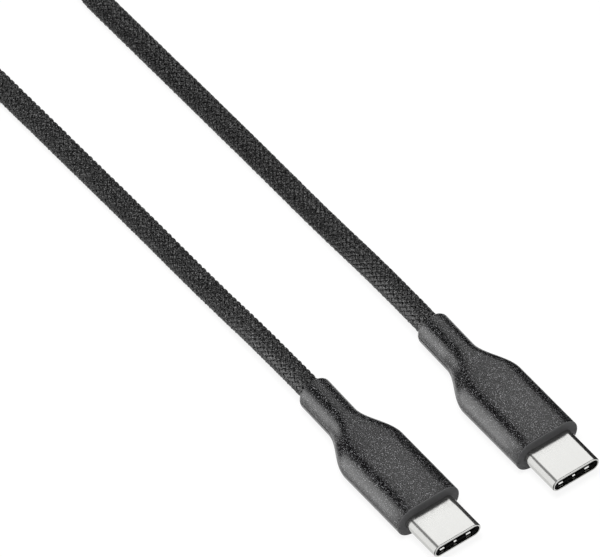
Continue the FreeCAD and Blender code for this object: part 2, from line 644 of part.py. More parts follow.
def make_cable_end(plug):
    """The cable's own end inside the strain relief, and the ferrule crimped on its jacket."""
    ferrule = new_body(plug, "ferrule")
    ring = cross_sketch(ferrule, plug["name"] + "_ferrule_ring", CAN_BACK,
                        lambda sketch: draw_circle(sketch, "sizes.ferrule_diameter"))
    back_pad(ferrule, ring, "sizes.ferrule_length")
    hole = cross_sketch(ferrule, plug["name"] + "_ferrule_hole", CAN_BACK,
                        lambda sketch: draw_circle(sketch, "sizes.jacket_diameter"))
    pocket(ferrule, hole, "sizes.ferrule_length")
    finish(ferrule, plug["name"] + "_crimp_ferrule", plug)

    end = new_body(plug, "cable_end")
    jacket = cross_sketch(end, plug["name"] + "_jacket", CAN_BACK,
                          lambda sketch: draw_circle(sketch, "sizes.jacket_diameter"))
    back_pad(end, jacket, "sizes.ferrule_length")
    braid = cross_sketch(end, plug["name"] + "_braid", FERRULE_BACK,
                         lambda sketch: draw_circle(sketch, "sizes.cord_diameter"))
    back_pad(end, braid, "%s - %s" % (RIM, FERRULE_BACK))
    finish(end, plug["name"] + "_cable_end", plug)


PLUGS = (
    {"name": "plug_a", "side": 1},
    {"name": "plug_b", "side": -1},
)

for plug in PLUGS:
    make_overmould(plug)
    make_shell(plug)
    make_housing(plug)
    make_contacts(plug)
    make_latches(plug)
    make_ground_springs(plug)
    make_electronics(plug)
    make_can(plug)
    make_inner_mould(plug)
    make_cable_end(plug)

# The free cord: a lead from each plug, and a two-layer coil of what is put away

CORD = number("sizes.cord_diameter")
TABLE = CORD / 2
AXIS_HEIGHT = number("sizes.body_height / 2")
RIM_X = -number("(%s) / 2" % RIM)
HALF_SHIFT = number("sizes.plug_shift / 2")
PLUG_Y = number("sizes.plug_spacing / 2")
COIL_X = number("sizes.coil_x")
COIL_Y = number("sizes.coil_y")
COIL_R = number("sizes.coil_radius")
PITCH = CORD + number("sizes.coil_gap")
# Half turns in the coil, and the one in the middle that climbs to the upper layer
HALF_TURNS = 11
CLIMB = (HALF_TURNS + 1) // 2
# Share of the shorter run that an arc of a lead takes up
ARC_SHARE = 0.45

COIL_START = (COIL_X + CORD, COIL_Y + COIL_R, TABLE)
COIL_END = (COIL_X + CORD, COIL_Y - COIL_R - PITCH, TABLE + PITCH)

LEAD_A = [
    (RIM_X + HALF_SHIFT, PLUG_Y, AXIS_HEIGHT),
    (-31.0, PLUG_Y, AXIS_HEIGHT),
    (-56.0, 10.0, TABLE),
    (-95.0, 9.3, TABLE),
    (COIL_X + 17.6, COIL_Y + COIL_R, TABLE),
    COIL_START,
]
LEAD_B = [
    (RIM_X - HALF_SHIFT, -PLUG_Y, AXIS_HEIGHT),
    (-32.0, -PLUG_Y, AXIS_HEIGHT),
    (-56.0, -10.6, TABLE),
    (-94.0, -11.4, TABLE),
    (COIL_X + 18.0, COIL_Y - COIL_R - PITCH, TABLE + PITCH),
    COIL_END,
]


def route_edges(points, name):
    """Straight runs joined by tangent arcs, each as large as its two runs allow."""
    spots = [FreeCAD.Vector(*point) for point in points]
    edges = []
    here = spots[0]
    radii = []
    for before, corner, after in zip(spots, spots[1:], spots[2:]):
        toward = (before - corner).normalize()
        onward = (after - corner).normalize()
        turn = math.pi - toward.getAngle(onward)
        reach = ARC_SHARE * min((before - corner).Length, (after - corner).Length)
        radii.append(reach / math.tan(turn / 2))
        start = corner + toward * reach
        end = corner + onward * reach
        inward = (toward + onward).normalize()
        middle = corner + inward * (radii[-1] / math.cos(turn / 2) - radii[-1])
        edges.append(Part.LineSegment(here, start).toShape())
        edges.append(Part.Arc(start, middle, end).toShape())
        here = end
    edges.append(Part.LineSegment(here, spots[-1]).toShape())
    print("%s: bend radii %s mm" % (name, ", ".join("%.0f" % radius for radius in radii)))
    return edges


def coil_edges():
    """Half turns that spiral in on the table, climb a layer and spiral out on top."""
    spots = [FreeCAD.Vector(COIL_X, COIL_Y + COIL_R, TABLE)]
    edges = [Part.LineSegment(FreeCAD.Vector(*COIL_START), spots[0]).toShape()]
    for turn in range(1, HALF_TURNS + 1):
        start = spots[-1]
        half_steps_in = min(turn - 1, HALF_TURNS - turn)
        radius = COIL_R - half_steps_in * PITCH / 2
        direction = -1 if turn % 2 else 1
        rise = PITCH if turn == CLIMB else 0.0
        end = start + FreeCAD.Vector(0, direction * 2 * radius, rise)
        half = (end - start).Length / 2
        middle = (start + end) * 0.5 + FreeCAD.Vector(direction * half, 0, 0)
        edges.append(Part.Arc(start, middle, end).toShape())
        spots.append(end)
    edges.append(Part.LineSegment(spots[-1], FreeCAD.Vector(*COIL_END)).toShape())
    return edges


def tube(name, edges):
    """One unbroken round tube along the edges."""
    path = Part.Wire(edges)
    start = path.Edges[0].valueAt(path.Edges[0].FirstParameter)
    along = path.Edges[0].tangentAt(path.Edges[0].FirstParameter)
    ring = Part.Wire([Part.makeCircle(CORD / 2, start, along)])
    piece = doc.addObject("Part::Feature", name + "_tube")
    piece.Shape = path.makePipeShell([ring], True, False)
    expected = math.pi * CORD * CORD / 4 * path.Length
    print("%s: length %.1f mm, volume %.1f mm3 against %.1f from section and length"
          % (name, path.Length, piece.Shape.Volume, expected))
    finish(piece, name)
    return path.Length


def least_gap(edges, step=1.0, neighbour=15.0):
    """Smallest space between stretches further apart along the coil than a neighbour, in mm."""
    points = []
    travelled = 0.0
    for edge in edges:
        count = max(2, int(edge.Length / step))
        for point in edge.discretize(Number=count)[:-1]:
            points.append((travelled, point))
            travelled += edge.Length / (count - 1)
    best = min((one - other).Length
               for i, (here, one) in enumerate(points)
               for there, other in points[i + 1:] if there - here > neighbour)
    return best - CORD


coil = coil_edges()
total = tube("cord_lead_a", route_edges(LEAD_A, "cord_lead_a"))
total += tube("cord_coil", coil)
total += tube("cord_lead_b", route_edges(LEAD_B, "cord_lead_b"))
print("coil: least gap to itself %.2f mm" % least_gap(coil))
print("cord between the plugs %.1f mm, cable from mouth to mouth %.1f mm"
      % (total, total + 2 * number(RIM)))

doc.recompute()

# Nothing is written unless every object and every sub-part is sound

for item in doc.Objects:
    if "Invalid" in item.State or "Error" in item.State:
        raise RuntimeError("%s is %s" % (item.Label, item.State))
    if item.TypeId == "PartDesign::Pocket" and item.Shape.Volume >= item.BaseFeature.Shape.Volume:
        raise RuntimeError("%s cuts nothing" % item.Label)
for name, piece in finished.items():
    if piece.Shape.isNull() or not piece.Shape.isValid() or not piece.Shape.Solids:
        raise RuntimeError("%s has no sound solid" % name)

os.makedirs("parts", exist_ok=True)
for name, piece in sorted(finished.items()):
    piece.Shape.exportStep("parts/%s.step" % name)
print("%d sub-parts, %d solids" % (len(finished), sum(len(p.Shape.Solids) for p in finished.values())))
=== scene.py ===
# %% [markdown]
# # A braided charging cable
#
# The real object is a metre of cord with the same flat plug on both ends. The two plugs lie side
# by side on a white table, and the rest of the cord is wound up just outside the picture. The
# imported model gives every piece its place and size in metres. This lesson dresses that model:
# first the camera, then the cord, then the mouldings and the steel, and at last the light.

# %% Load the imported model
import json
import math
import random

import bpy
import numpy as np
from mathutils import Matrix, Vector


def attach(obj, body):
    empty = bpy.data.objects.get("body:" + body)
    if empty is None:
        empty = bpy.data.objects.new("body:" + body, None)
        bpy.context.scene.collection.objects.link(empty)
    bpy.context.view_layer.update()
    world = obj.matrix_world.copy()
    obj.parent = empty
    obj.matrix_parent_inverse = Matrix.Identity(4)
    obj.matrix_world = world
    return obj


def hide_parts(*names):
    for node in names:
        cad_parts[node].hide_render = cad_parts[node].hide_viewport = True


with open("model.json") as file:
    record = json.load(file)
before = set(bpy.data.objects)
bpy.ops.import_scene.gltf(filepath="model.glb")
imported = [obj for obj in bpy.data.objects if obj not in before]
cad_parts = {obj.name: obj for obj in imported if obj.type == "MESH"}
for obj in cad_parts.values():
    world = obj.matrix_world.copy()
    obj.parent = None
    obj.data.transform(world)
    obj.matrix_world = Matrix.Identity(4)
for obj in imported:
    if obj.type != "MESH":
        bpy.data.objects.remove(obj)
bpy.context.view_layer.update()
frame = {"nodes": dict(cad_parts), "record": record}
MM = 0.001

# %% [markdown]
# ## Small helpers
#
# Colours are written as a designer reads them from a screen, in sRGB hex, but light adds up only
# in linear numbers, so one function turns the first into the second. Another adds a node to a
# material with its settings, its links and, on a colour ramp, its stops. That keeps each recipe
# short enough to read.

# %% Colour and node helpers


def linear(hex_colour):
    """Linear red, green, blue and alpha of an sRGB hex colour, by that standard's own curve."""
    shares = [int(hex_colour[i:i + 2], 16) / 255 for i in (1, 3, 5)]
    return [share / 12.92 if share <= 0.04045 else ((share + 0.055) / 1.055) ** 2.4
            for share in shares] + [1.0]


def add_node(tree, kind, inputs=None, stops=(), **settings):
    """Add a node; an input is a value or the socket that feeds it, a stop a place and its colour."""
    node = tree.nodes.new(kind)
    for name, value in settings.items():
        setattr(node, name, value)
    for name, value in (inputs or {}).items():
        if isinstance(value, bpy.types.NodeSocket):
            tree.links.new(value, node.inputs[name])
        else:
            node.inputs[name].default_value = value
    for i, (position, colour) in enumerate(stops):
        elements = node.color_ramp.elements
        element = elements[i] if i < len(elements) else elements.new(position)
        element.position = position
        element.color = linear(colour)
    return node


def begin_material(name):
    """Empty material and its tree."""
    material = bpy.data.materials.new(name)
    material.use_nodes = True
    material.node_tree.nodes.clear()
    return material, material.node_tree


def add_object(name, data):
    """Object in the scene for a mesh, a curve, a camera or a light."""
    thing = bpy.data.objects.new(name, data)
    bpy.context.scene.collection.objects.link(thing)
    return thing


print("charcoal #3a3a3a is", [round(value, 4) for value in linear("#3a3a3a")])

# %% [markdown]
# ## Camera
#
# The picture is taken with a long lens from about two metres away, looking down at 50 degrees over
# the mouths of the plugs. Such a camera has almost no perspective, so a plug's two edges stay
# parallel. Its place is worked out from three directions: right, up and back.

# %% Camera
AZIMUTH = math.radians(52.91)
ELEVATION = math.radians(49.85)
DISTANCE = 2.127
LENS_MM = 906.7
SENSOR_MM = 36
# Point that the lens aims at, from the origin, along the picture's own right and up
AIM_RIGHT = -20.12 * MM
AIM_UP = 23.50 * MM

right = Vector((math.cos(AZIMUTH), math.sin(AZIMUTH), 0))
back = Vector((math.sin(AZIMUTH) * math.cos(ELEVATION), -math.cos(AZIMUTH) * math.cos(ELEVATION),
               math.sin(ELEVATION)))
up = back.cross(right)
camera_data = bpy.data.cameras.new("long_lens")
camera_data.sensor_fit = "HORIZONTAL"
camera_data.sensor_width = SENSOR_MM
camera_data.lens = LENS_MM
camera = add_object("long_lens", camera_data)
place = right * AIM_RIGHT + up * AIM_UP + back * DISTANCE
camera.matrix_world = Matrix((
    (right.x, up.x, back.x, place.x),
    (right.y, up.y, back.y, place.y),
    (right.z, up.z, back.z, place.z),
    (0, 0, 0, 1)))
bpy.context.scene.camera = camera
print("camera at", [round(value, 3) for value in place])

# %% [markdown]
# ## The cord's route
#
# A cord is one length of something flexible, so it gets one smooth curve from plug to plug. It
# leaves plug A straight, settles on the table within a few centimetres, and runs out of the
# picture. There it is wound into a flat coil of eleven half turns in two layers. The lower layer
# spirals in and the upper one out again, by a little over a cord's width in each full turn, and
# then the cord comes back to plug B. A NURBS curve passes near its control points instead of
# through them, so it has no corners. The coil's points lie on the tangents of its half circles,
# because a curve of order 3 touches its polygon in the middle of each side.

# %% Route points
CORD_DIAMETER = 3.5 * MM
# Height of the cord's middle where it lies on the table
TABLE = CORD_DIAMETER / 2
# Middle of the first half turn, and its radius
COIL_X = -136.0 * MM
COIL_Y = 1.0 * MM
COIL_RADIUS = 24.3 * MM
TURN_PITCH = 3.95 * MM
HALF_TURNS = 11
# The half turn that climbs to the upper layer
CLIMB = (HALF_TURNS + 1) // 2
POINTS_PER_HALF_TURN = 8

# Points of the leads in millimetres, from plug A to the coil and from the coil to plug B
LEAD_A = [(-16.775, 10.45, 2.75), (-27.0, 10.62, 2.70), (-42.0, 10.6, 1.75), (-56.0, 10.52, 1.75),
          (-73.0, 10.28, 1.75), (-88.0, 10.05, 1.75), (-101.0, 9.86, 1.75), (-112.0, 20.5, 1.75),
          (-118.4, 25.3, 1.75), (-132.5, 25.3, 1.75)]
LEAD_B = [(-132.5, -27.25, 5.70), (-118.0, -27.25, 5.70), (-108.5, -20.9, 3.90),
          (-97.5, -10.98, 1.75), (-83.5, -10.7, 1.75), (-70.0, -10.43, 1.75), (-56.0, -10.15, 1.75),
          (-42.5, -10.07, 1.75), (-27.5, -10.0, 2.70), (-17.375, -10.05, 2.75)]


def coil_points():
    """Control points of the wound part, from lead A's end to lead B's start."""
    half_step = math.pi / POINTS_PER_HALF_TURN / 2
    points = []
    edge = COIL_Y + COIL_RADIUS
    for turn in range(1, HALF_TURNS + 1):
        radius = COIL_RADIUS - min(turn - 1, HALF_TURNS - turn) * TURN_PITCH / 2
        side = -1 if turn % 2 else 1
        middle = edge + side * radius
        for i in range(POINTS_PER_HALF_TURN):
            angle = math.pi * (i + 0.5) / POINTS_PER_HALF_TURN
            across = -side * radius * math.cos(angle) / math.cos(half_step)
            outward = side * radius * math.sin(angle) / math.cos(half_step)
            climbed = float(turn > CLIMB)
            if turn == CLIMB:
                climbed = (1 - math.cos(angle) / math.cos(half_step)) / 2
            points.append((COIL_X + outward, middle + across, TABLE + TURN_PITCH * climbed))
        edge = middle + side * radius
    return points


route = [tuple(value * MM for value in point) for point in LEAD_A]
route += coil_points()
route += [tuple(value * MM for value in point) for point in LEAD_B]
print("route points", len(route), "last of the coil", [round(v / MM, 2) for v in route[-len(LEAD_B) - 1]])

# %% Curve of the jacket
JACKET_RADIUS = 1.42 * MM
# Steps from one control point to the next, for the line that the braid follows and for the tube
READ_STEPS = 48
DRAW_STEPS = 12
BEVEL_STEPS = 4

cord_data = bpy.data.curves.new("cord_jacket", "CURVE")
cord_data.dimensions = "3D"
spline = cord_data.splines.new("NURBS")
spline.points.add(len(route) - 1)
for control, point in zip(spline.points, route):
    control.co = (*point, 1)
    control.radius = JACKET_RADIUS
spline.order_u = 3
spline.use_endpoint_u = True
spline.resolution_u = READ_STEPS
cord_data.resolution_u = READ_STEPS
cord = add_object("cord_jacket", cord_data)

line_mesh = bpy.data.meshes.new_from_object(cord)
line = np.empty(len(line_mesh.vertices) * 3)
line_mesh.vertices.foreach_get("co", line)
line = line.reshape(-1, 3)
bpy.data.meshes.remove(line_mesh)
line_steps = np.linalg.norm(np.diff(line, axis=0), axis=1)
line_length = np.concatenate(([0.0], np.cumsum(line_steps)))
CORD_LENGTH = float(line_length[-1])

spline.resolution_u = DRAW_STEPS
cord_data.resolution_u = DRAW_STEPS
# A bevel depth of 1 leaves the tube's radius to the points, which hold it
cord_data.bevel_depth = 1.0
cord_data.bevel_resolution = BEVEL_STEPS
cord_data.use_fill_caps = True
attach(cord, "cable")
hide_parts("cord_lead_a", "cord_coil", "cord_lead_b")
print("line points", len(line), "cord length mm", round(CORD_LENGTH / MM, 1))

# %% [markdown]
# ## The braid
#
# The braid is woven over the jacket by 24 carriers, 12 each way round, and each carrier lays three
# nylon yarns side by side. Every strand passes over one strand of the other hand and then under
# one, and that makes columns of short slanted stitches along the cord. A pattern of the colour
# alone would look flat along the cord's outline, so each strand is real geometry: a ribbon with
# three ridges that winds round the curve and rises and dips at each crossing. One row of stitches
# is 1.02 mm long, so a strand goes once round in 12 rows.

# %% Frames along the cord
STRANDS_EACH_WAY = 12
ROW = 1.02 * MM
LAY_LENGTH = STRANDS_EACH_WAY * ROW
CROSSING = ROW / 2

samples = int(round(CORD_LENGTH / (CROSSING / 2))) + 1
distance = np.linspace(0, CORD_LENGTH, samples)
spots = np.column_stack([np.interp(distance, line_length, line[:, i]) for i in range(3)])
tangents = np.gradient(spots, axis=0)
tangents /= np.linalg.norm(tangents, axis=1)[:, None]

normals = np.empty_like(spots)
normal = np.array((0.0, 0.0, 1.0))
for i, tangent in enumerate(tangents):
    normal = normal - tangent * np.dot(normal, tangent)
    normal /= np.linalg.norm(normal)
    normals[i] = normal
sides = np.cross(tangents, normals)
print("samples", samples, "frame at the far end", normals[-1].round(3), sides[-1].round(3))

# %% [markdown]
# Going round the cord, the strands of one hand lie on top and then those of the other, by turns
# every 15 degrees. On both leads the middle of such a column faces the camera. So the weave is
# turned at each end until it does, measured where the lead lies straight, and the small
# difference between the two ends is spread over the coil as a slow twist, which a real cord has
# as well.

# %% Turn of the weave
COLUMN = 2 * math.pi / (2 * STRANDS_EACH_WAY)
REPEAT = 2 * COLUMN
# From each plug: the stretch that is woven in full detail, and a place on it that lies straight
LEAD_LENGTH = 125.0 * MM
STRAIGHT_PLACE = 40 * MM


def facing(i):
    """Angle round the cord, from its normal, at which a sample faces the camera."""
    return math.atan2(np.dot(back, sides[i]), np.dot(back, normals[i]))


straight = int(np.searchsorted(distance, STRAIGHT_PLACE))
turn_a = facing(straight)
turn_b = facing(samples - straight)
turn_b = turn_a + math.remainder(turn_b - turn_a, REPEAT)
share = np.clip((distance - LEAD_LENGTH) / (CORD_LENGTH - 2 * LEAD_LENGTH), 0, 1)
twist = turn_a + (turn_b - turn_a) * share
print("turn at plug A", round(math.degrees(turn_a), 1), "at plug B", round(math.degrees(turn_b), 1))

# %% Shape of a strand
BRAID_RADIUS = 1.48 * MM
# How far a strand rises and dips at a crossing, and the width of a yarn
WAVE = 0.19 * MM
YARN = 0.195 * MM
# Outline of a strand across its run, in yarn widths, over the top and under: three yarns side by
# side, and one plain crown for the coil, which the picture doesn't show
RIDGED = [(-1.5, 0.0), (-1.0, 0.60), (-0.5, 0.40), (0.0, 0.68), (0.5, 0.40), (1.0, 0.60),
          (1.5, 0.0), (0.0, -0.45)]
PLAIN = [(-1.5, 0.0), (-0.8, 0.56), (0.0, 0.66), (0.8, 0.56), (1.5, 0.0), (0.0, -0.45)]
LAY_ANGLE = math.atan2(2 * math.pi * BRAID_RADIUS, LAY_LENGTH)
# Unevenness of the weave: how far a strand strays up and aside, and over which lengths in mm
STRAY_SEED = 24
STRAY_UP = 0.012 * MM
STRAY_ASIDE = 0.02 * MM
STRAY_LENGTHS = (3, 9)
STRAY_PHASES = (0, 6)
print("lay angle", round(math.degrees(LAY_ANGLE), 1), "degrees")


def wave(crossings):
    """Height of a strand, from 1 over the other hand to -1 under it, level for half of each."""
    return np.clip(math.sqrt(2) * np.cos(math.pi * crossings), -1, 1)


def braid_mesh(name, picked, outline):
    """All strands between two samples of the cord, as one mesh."""
    dice = random.Random(STRAY_SEED)
    # The weave starts a quarter of a crossing on, so that its first samples are fully up or down
    along = distance[picked] + CROSSING / 4
    rows = len(along)
    ring = len(outline)
    vertices = []
    for hand in (1, -1):
        for strand in range(STRANDS_EACH_WAY):
            angle = 2 * math.pi * (strand / STRANDS_EACH_WAY + hand * along / LAY_LENGTH) + twist[picked]
            crossings = 2 * strand + hand * along / CROSSING
            steady = dice.uniform(-1, 1)
            length = dice.uniform(*STRAY_LENGTHS) * MM
            stray = steady + np.sin(along / length + dice.uniform(*STRAY_PHASES))
            lift = BRAID_RADIUS + WAVE * hand * wave(crossings) + STRAY_UP * stray
            for across, high in outline:
                side_step = across * YARN + STRAY_ASIDE * stray
                turn = angle + side_step * math.cos(LAY_ANGLE) / BRAID_RADIUS
                outward = normals[picked] * np.cos(turn)[:, None] + sides[picked] * np.sin(turn)[:, None]
                forward = -hand * side_step * math.sin(LAY_ANGLE)
                vertices.append(spots[picked] + outward * (lift + high * YARN)[:, None]
                                + tangents[picked] * forward[:, None])
    # One block of corners for each strand: rows along it, ring points round it
    block = np.array(vertices).reshape(-1, ring, rows, 3).transpose(0, 2, 1, 3).reshape(-1, 3)
    faces = []
    caps = []
    for strand in range(2 * STRANDS_EACH_WAY):
        start = strand * rows * ring
        grid = start + np.arange(rows * ring).reshape(rows, ring)
        following = np.roll(grid, -1, axis=1)
        quads = np.stack([grid[:-1], following[:-1], following[1:], grid[1:]], axis=2)
        faces.append(quads.reshape(-1, 4))
        caps += [grid[0][::-1].tolist(), grid[-1].tolist()]
    faces = np.concatenate(faces).tolist()
    mesh = bpy.data.meshes.new(name)
    mesh.from_pydata(block.tolist(), [], faces + caps)
    mesh.polygons.foreach_set("use_smooth", [True] * len(faces) + [False] * len(caps))
    mesh.update()
    return mesh


def add_piece(name, mesh, replaced=()):
    """Object for a mesh, riding on the cable; the imported parts that it replaces are hidden."""
    piece = add_object(name, mesh)
    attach(piece, "cable")
    if replaced:
        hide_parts(*replaced)
    return piece


# %% Weave the braid
COIL_PIECES = 3

lead_a_end = int(np.searchsorted(distance, LEAD_LENGTH))
coil_end = int(np.searchsorted(distance, CORD_LENGTH - LEAD_LENGTH))
# The coil takes every second sample, so each cut is an even number of samples from its start
coil_cuts = np.linspace(lead_a_end, coil_end, COIL_PIECES + 1).astype(int)
coil_cuts[1:] -= (coil_cuts[1:] - lead_a_end) % 2

spans = [("braid_lead_a", np.arange(lead_a_end + 1), RIDGED)]
for number, (first, last) in enumerate(zip(coil_cuts[:-1], coil_cuts[1:]), start=1):
    spans.append(("braid_coil_%d" % number, np.arange(first, last + 1, 2), PLAIN))
spans.append(("braid_lead_b", np.arange(coil_cuts[-1], samples), RIDGED))
braids = [add_piece(name, braid_mesh(name, picked, outline))
          for name, picked, outline in spans]
print("braid faces", [len(piece.data.polygons) for piece in braids])

# %% [markdown]
# ## Rings for mouldings and sheet metal
#
# Both the moulding and the shell are long bodies whose cross section changes along them, outside
# and inside. They are built as a skin over rings with the same number of points, along the
# outside and back through the hole, so that the mesh is closed and has no stray faces.

# %% Ring shapes
ARC_STEPS = 14
FLAT_STEPS = 5
# Points on a ring's round end, two quarter circles and three for the parting line, and on a ring
END_POINTS = 2 * (ARC_STEPS + 1) + 3
RING = 2 * (END_POINTS + FLAT_STEPS - 1)
# Half the width of the parting line's groove
NOTCH = 0.10 * MM
SHELL_WIDTH = 8.25 * MM
SHELL_HEIGHT = 2.40 * MM
# Each plug's mouth, along X, and the middle of the plug, along Y
PLUGS = {"plug_a": (17.375 * MM, 10.25 * MM), "plug_b": (16.775 * MM, -10.25 * MM)}
AXIS_HEIGHT = 2.75 * MM


def quarter(centre_y, centre_z, radius, start):
    """Points of a quarter circle, from a start angle in degrees."""
    return [(centre_y + radius * math.cos(math.radians(start + 90 * i / ARC_STEPS)),
             centre_z + radius * math.sin(math.radians(start + 90 * i / ARC_STEPS)))
            for i in range(ARC_STEPS + 1)]


def between(start, end):
    """Points on a flat, without its ends."""
    return [tuple(a + (b - a) * i / FLAT_STEPS for a, b in zip(start, end))
            for i in range(1, FLAT_STEPS)]


def rounded_ring(width, height, corner, groove=0.0):
    """Rectangle with round corners and, at half height, the groove of the parting line."""
    y = width / 2
    z = height / 2
    first = quarter(y - corner, z - corner, corner, 0)
    second = quarter(corner - y, z - corner, corner, 90)
    third = quarter(corner - y, corner - z, corner, 180)
    fourth = quarter(y - corner, corner - z, corner, 270)
    ring = [(y - groove, 0.0), (y, NOTCH)] + first + between(first[-1], second[0]) + second
    ring += [(-y, NOTCH), (groove - y, 0.0), (-y, -NOTCH)] + third + between(third[-1], fourth[0])
    return ring + fourth + [(y, -NOTCH)]


def slot_ring(width, height):
    """Slot shape with full-round ends; a circle where width and height are the same."""
    radius = height / 2
    straight = (width - height) / 2
    steps = END_POINTS - 1
    reach = math.pi if straight > 0 else math.pi * steps / (steps + FLAT_STEPS)
    ring = []
    for side, middle in ((1, 0.0), (-1, math.pi)):
        end = [(side * straight + radius * math.cos(middle - reach / 2 + reach * i / steps),
                radius * math.sin(middle - reach / 2 + reach * i / steps)) for i in range(END_POINTS)]
        ring += end
        if straight > 0:
            ring += between(end[-1], (-side * straight, side * radius))
        else:
            start = middle + reach / 2
            gap = math.pi - reach
            ring += [(radius * math.cos(start + gap * i / FLAT_STEPS),
                      radius * math.sin(start + gap * i / FLAT_STEPS)) for i in range(1, FLAT_STEPS)]
    # Start at the same place as the other rings: the middle of the right end
    shift = END_POINTS // 2
    return ring[shift:] + ring[:shift]


def shell_ring(inset):
    """The shell's outline, set in by the same amount all round."""
    return slot_ring(SHELL_WIDTH - 2 * inset, SHELL_HEIGHT - 2 * inset)


print("points in a ring", RING, "and in the shell's", len(shell_ring(0.0)))


# %% Skin over rings
def skin(name, plug, rings, groups, sharp_degrees):
    """Closed mesh through rings, each its depth behind the mouth and its outline.

    The group of a ring is the material of the faces between it and the next ring.
    """
    tip, side = PLUGS[plug]
    vertices = [(tip - depth, side + y, AXIS_HEIGHT + z) for depth, ring in rings for y, z in ring]
    faces = []
    materials = []
    for i in range(len(rings)):
        here = i * RING
        there = (i + 1) % len(rings) * RING
        for j in range(RING):
            k = (j + 1) % RING
            faces.append((here + j, here + k, there + k, there + j))
            materials.append(groups[i])
    mesh = bpy.data.meshes.new(name)
    mesh.from_pydata(vertices, [], faces)
    mesh.polygons.foreach_set("material_index", materials)
    mesh.shade_smooth()
    mesh.set_sharp_from_angle(angle=math.radians(sharp_degrees))
    mesh.update()
    return mesh


# %% [markdown]
# ## Overmould
#
# The body, its flare and the strain relief are one shot of black thermoplastic elastomer, moulded
# round the steel in a two-part tool. The tool's sides are spark eroded, which leaves a fine grain,
# and its front is plain. Where the two halves meet runs a fine parting line at half height. The
# flare eases from the body's section to the neck's in a soft S, and the neck's free end is
# rounded over.

# %% Overmould shape
# Cross sections: width, height and the radius of the long edges
BODY = (10.72 * MM, 5.5 * MM, 2.7 * MM)
NECK = (5.2 * MM, 5.2 * MM, 2.45 * MM)
# Depths behind the mouth
FRONT = 6.65 * MM
FLARE_FRONT = 19.35 * MM
NECK_FRONT = 27.0 * MM
RIM = 34.15 * MM
# Radii of the front's edge and of the rim, and how far in the rim's rounding reaches
FRONT_EDGE = 0.14 * MM
RIM_ROUNDING = 0.90 * MM
RIM_LIP = 0.80 * MM
# The parting line's groove deepens over its first stretch
PARTING_DEPTH = 0.32 * MM
PARTING_START = 1.0 * MM
# How far the rim is pulled aside
NECK_LEAN = 0.27 * MM
# Hollow for the screening can and the ferrule, with the cord's bore behind them
CAN = (8.9 * MM, 3.0 * MM, 1.2 * MM)
CAN_FRONT = 9.0 * MM
CAN_BACK = 18.0 * MM
FERRULE_DIAMETER = 4.2 * MM
FERRULE_BACK = 21.5 * MM
BORE_BACK = 34.10 * MM
FLARE_RINGS = 28
EDGE_RINGS = 4
MOULD_SHARP_DEGREES = 32


def shrunk(section, amount, groove=PARTING_DEPTH):
    """Ring of a section set in by the same amount all round."""
    width, height, corner = section
    return rounded_ring(width - 2 * amount, height - 2 * amount, corner - amount, groove)


def leaning(depth, ring):
    """Ring moved aside as the cord pulls the soft neck, most at the rim."""
    share = max(0.0, (depth - FLARE_FRONT) / (RIM - FLARE_FRONT))
    return depth, [(y + NECK_LEAN * share, z) for y, z in ring]


def overmould_rings():
    """Rings from the hole for the shell, over the outside, to the bore for the cord and back."""
    rings = [(FRONT, shell_ring(0.0))]
    for i in range(EDGE_RINGS, -1, -1):
        angle = math.pi / 2 * i / EDGE_RINGS
        rings.append((FRONT + FRONT_EDGE * (1 - math.sin(angle)),
                      shrunk(BODY, FRONT_EDGE * (1 - math.cos(angle)), 0.0)))
    rings.append((FRONT + PARTING_START, shrunk(BODY, 0.0)))
    for i in range(FLARE_RINGS + 1):
        share = i / FLARE_RINGS
        ease = share * share * (3 - 2 * share)
        section = [a + (b - a) * ease for a, b in zip(BODY, NECK)]
        depth = FLARE_FRONT + share * (NECK_FRONT - FLARE_FRONT)
        rings.append(leaning(depth, shrunk(section, 0.0)))
    last_angle = math.acos(1 - RIM_LIP / RIM_ROUNDING)
    for i in range(2 * EDGE_RINGS + 1):
        angle = last_angle * i / (2 * EDGE_RINGS)
        rings.append(leaning(RIM - RIM_ROUNDING * (1 - math.sin(angle)),
                             shrunk(NECK, RIM_ROUNDING * (1 - math.cos(angle)))))
    bore = slot_ring(CORD_DIAMETER, CORD_DIAMETER)
    ferrule = slot_ring(FERRULE_DIAMETER, FERRULE_DIAMETER)
    can = rounded_ring(*CAN)
    return rings + [leaning(BORE_BACK, bore), (FERRULE_BACK, bore), (FERRULE_BACK, ferrule),
                    (CAN_BACK, ferrule), (CAN_BACK, can), (CAN_FRONT, can), (CAN_FRONT, shell_ring(0.0))]


mould_rings = overmould_rings()
# The flat front and its rounded edge are the plain part of the tool
mould_groups = [1 if i <= EDGE_RINGS else 0 for i in range(len(mould_rings))]
overmoulds = []
for plug in PLUGS:
    mesh = skin(plug + "_moulding", plug, mould_rings, mould_groups, MOULD_SHARP_DEGREES)
    overmoulds.append(add_piece(plug + "_moulding", mesh, [plug + "_overmould"]))
print("moulding faces", len(overmoulds[0].data.polygons))

# %% [markdown]
# ## Shell
#
# The shell is deep drawn from stainless sheet a quarter of a millimetre thick, tumbled and polished.
# Its mouth is rolled a little inward and rounded over so that it finds the socket, and that soft lip
# is what catches the light.

# %% Shell shape
SHELL_BACK = 11.0 * MM
SHELL_WALL = 0.25 * MM
# The lip's thickness, its two roundings, and the depth at which it is as thin as the wall
LIP_WALL = 0.31 * MM
LIP_OUTSIDE = 0.19 * MM
LIP_INSIDE = 0.06 * MM
LIP_DEPTH = 0.45 * MM
LIP_RINGS = 6
SHEET_SHARP_DEGREES = 40


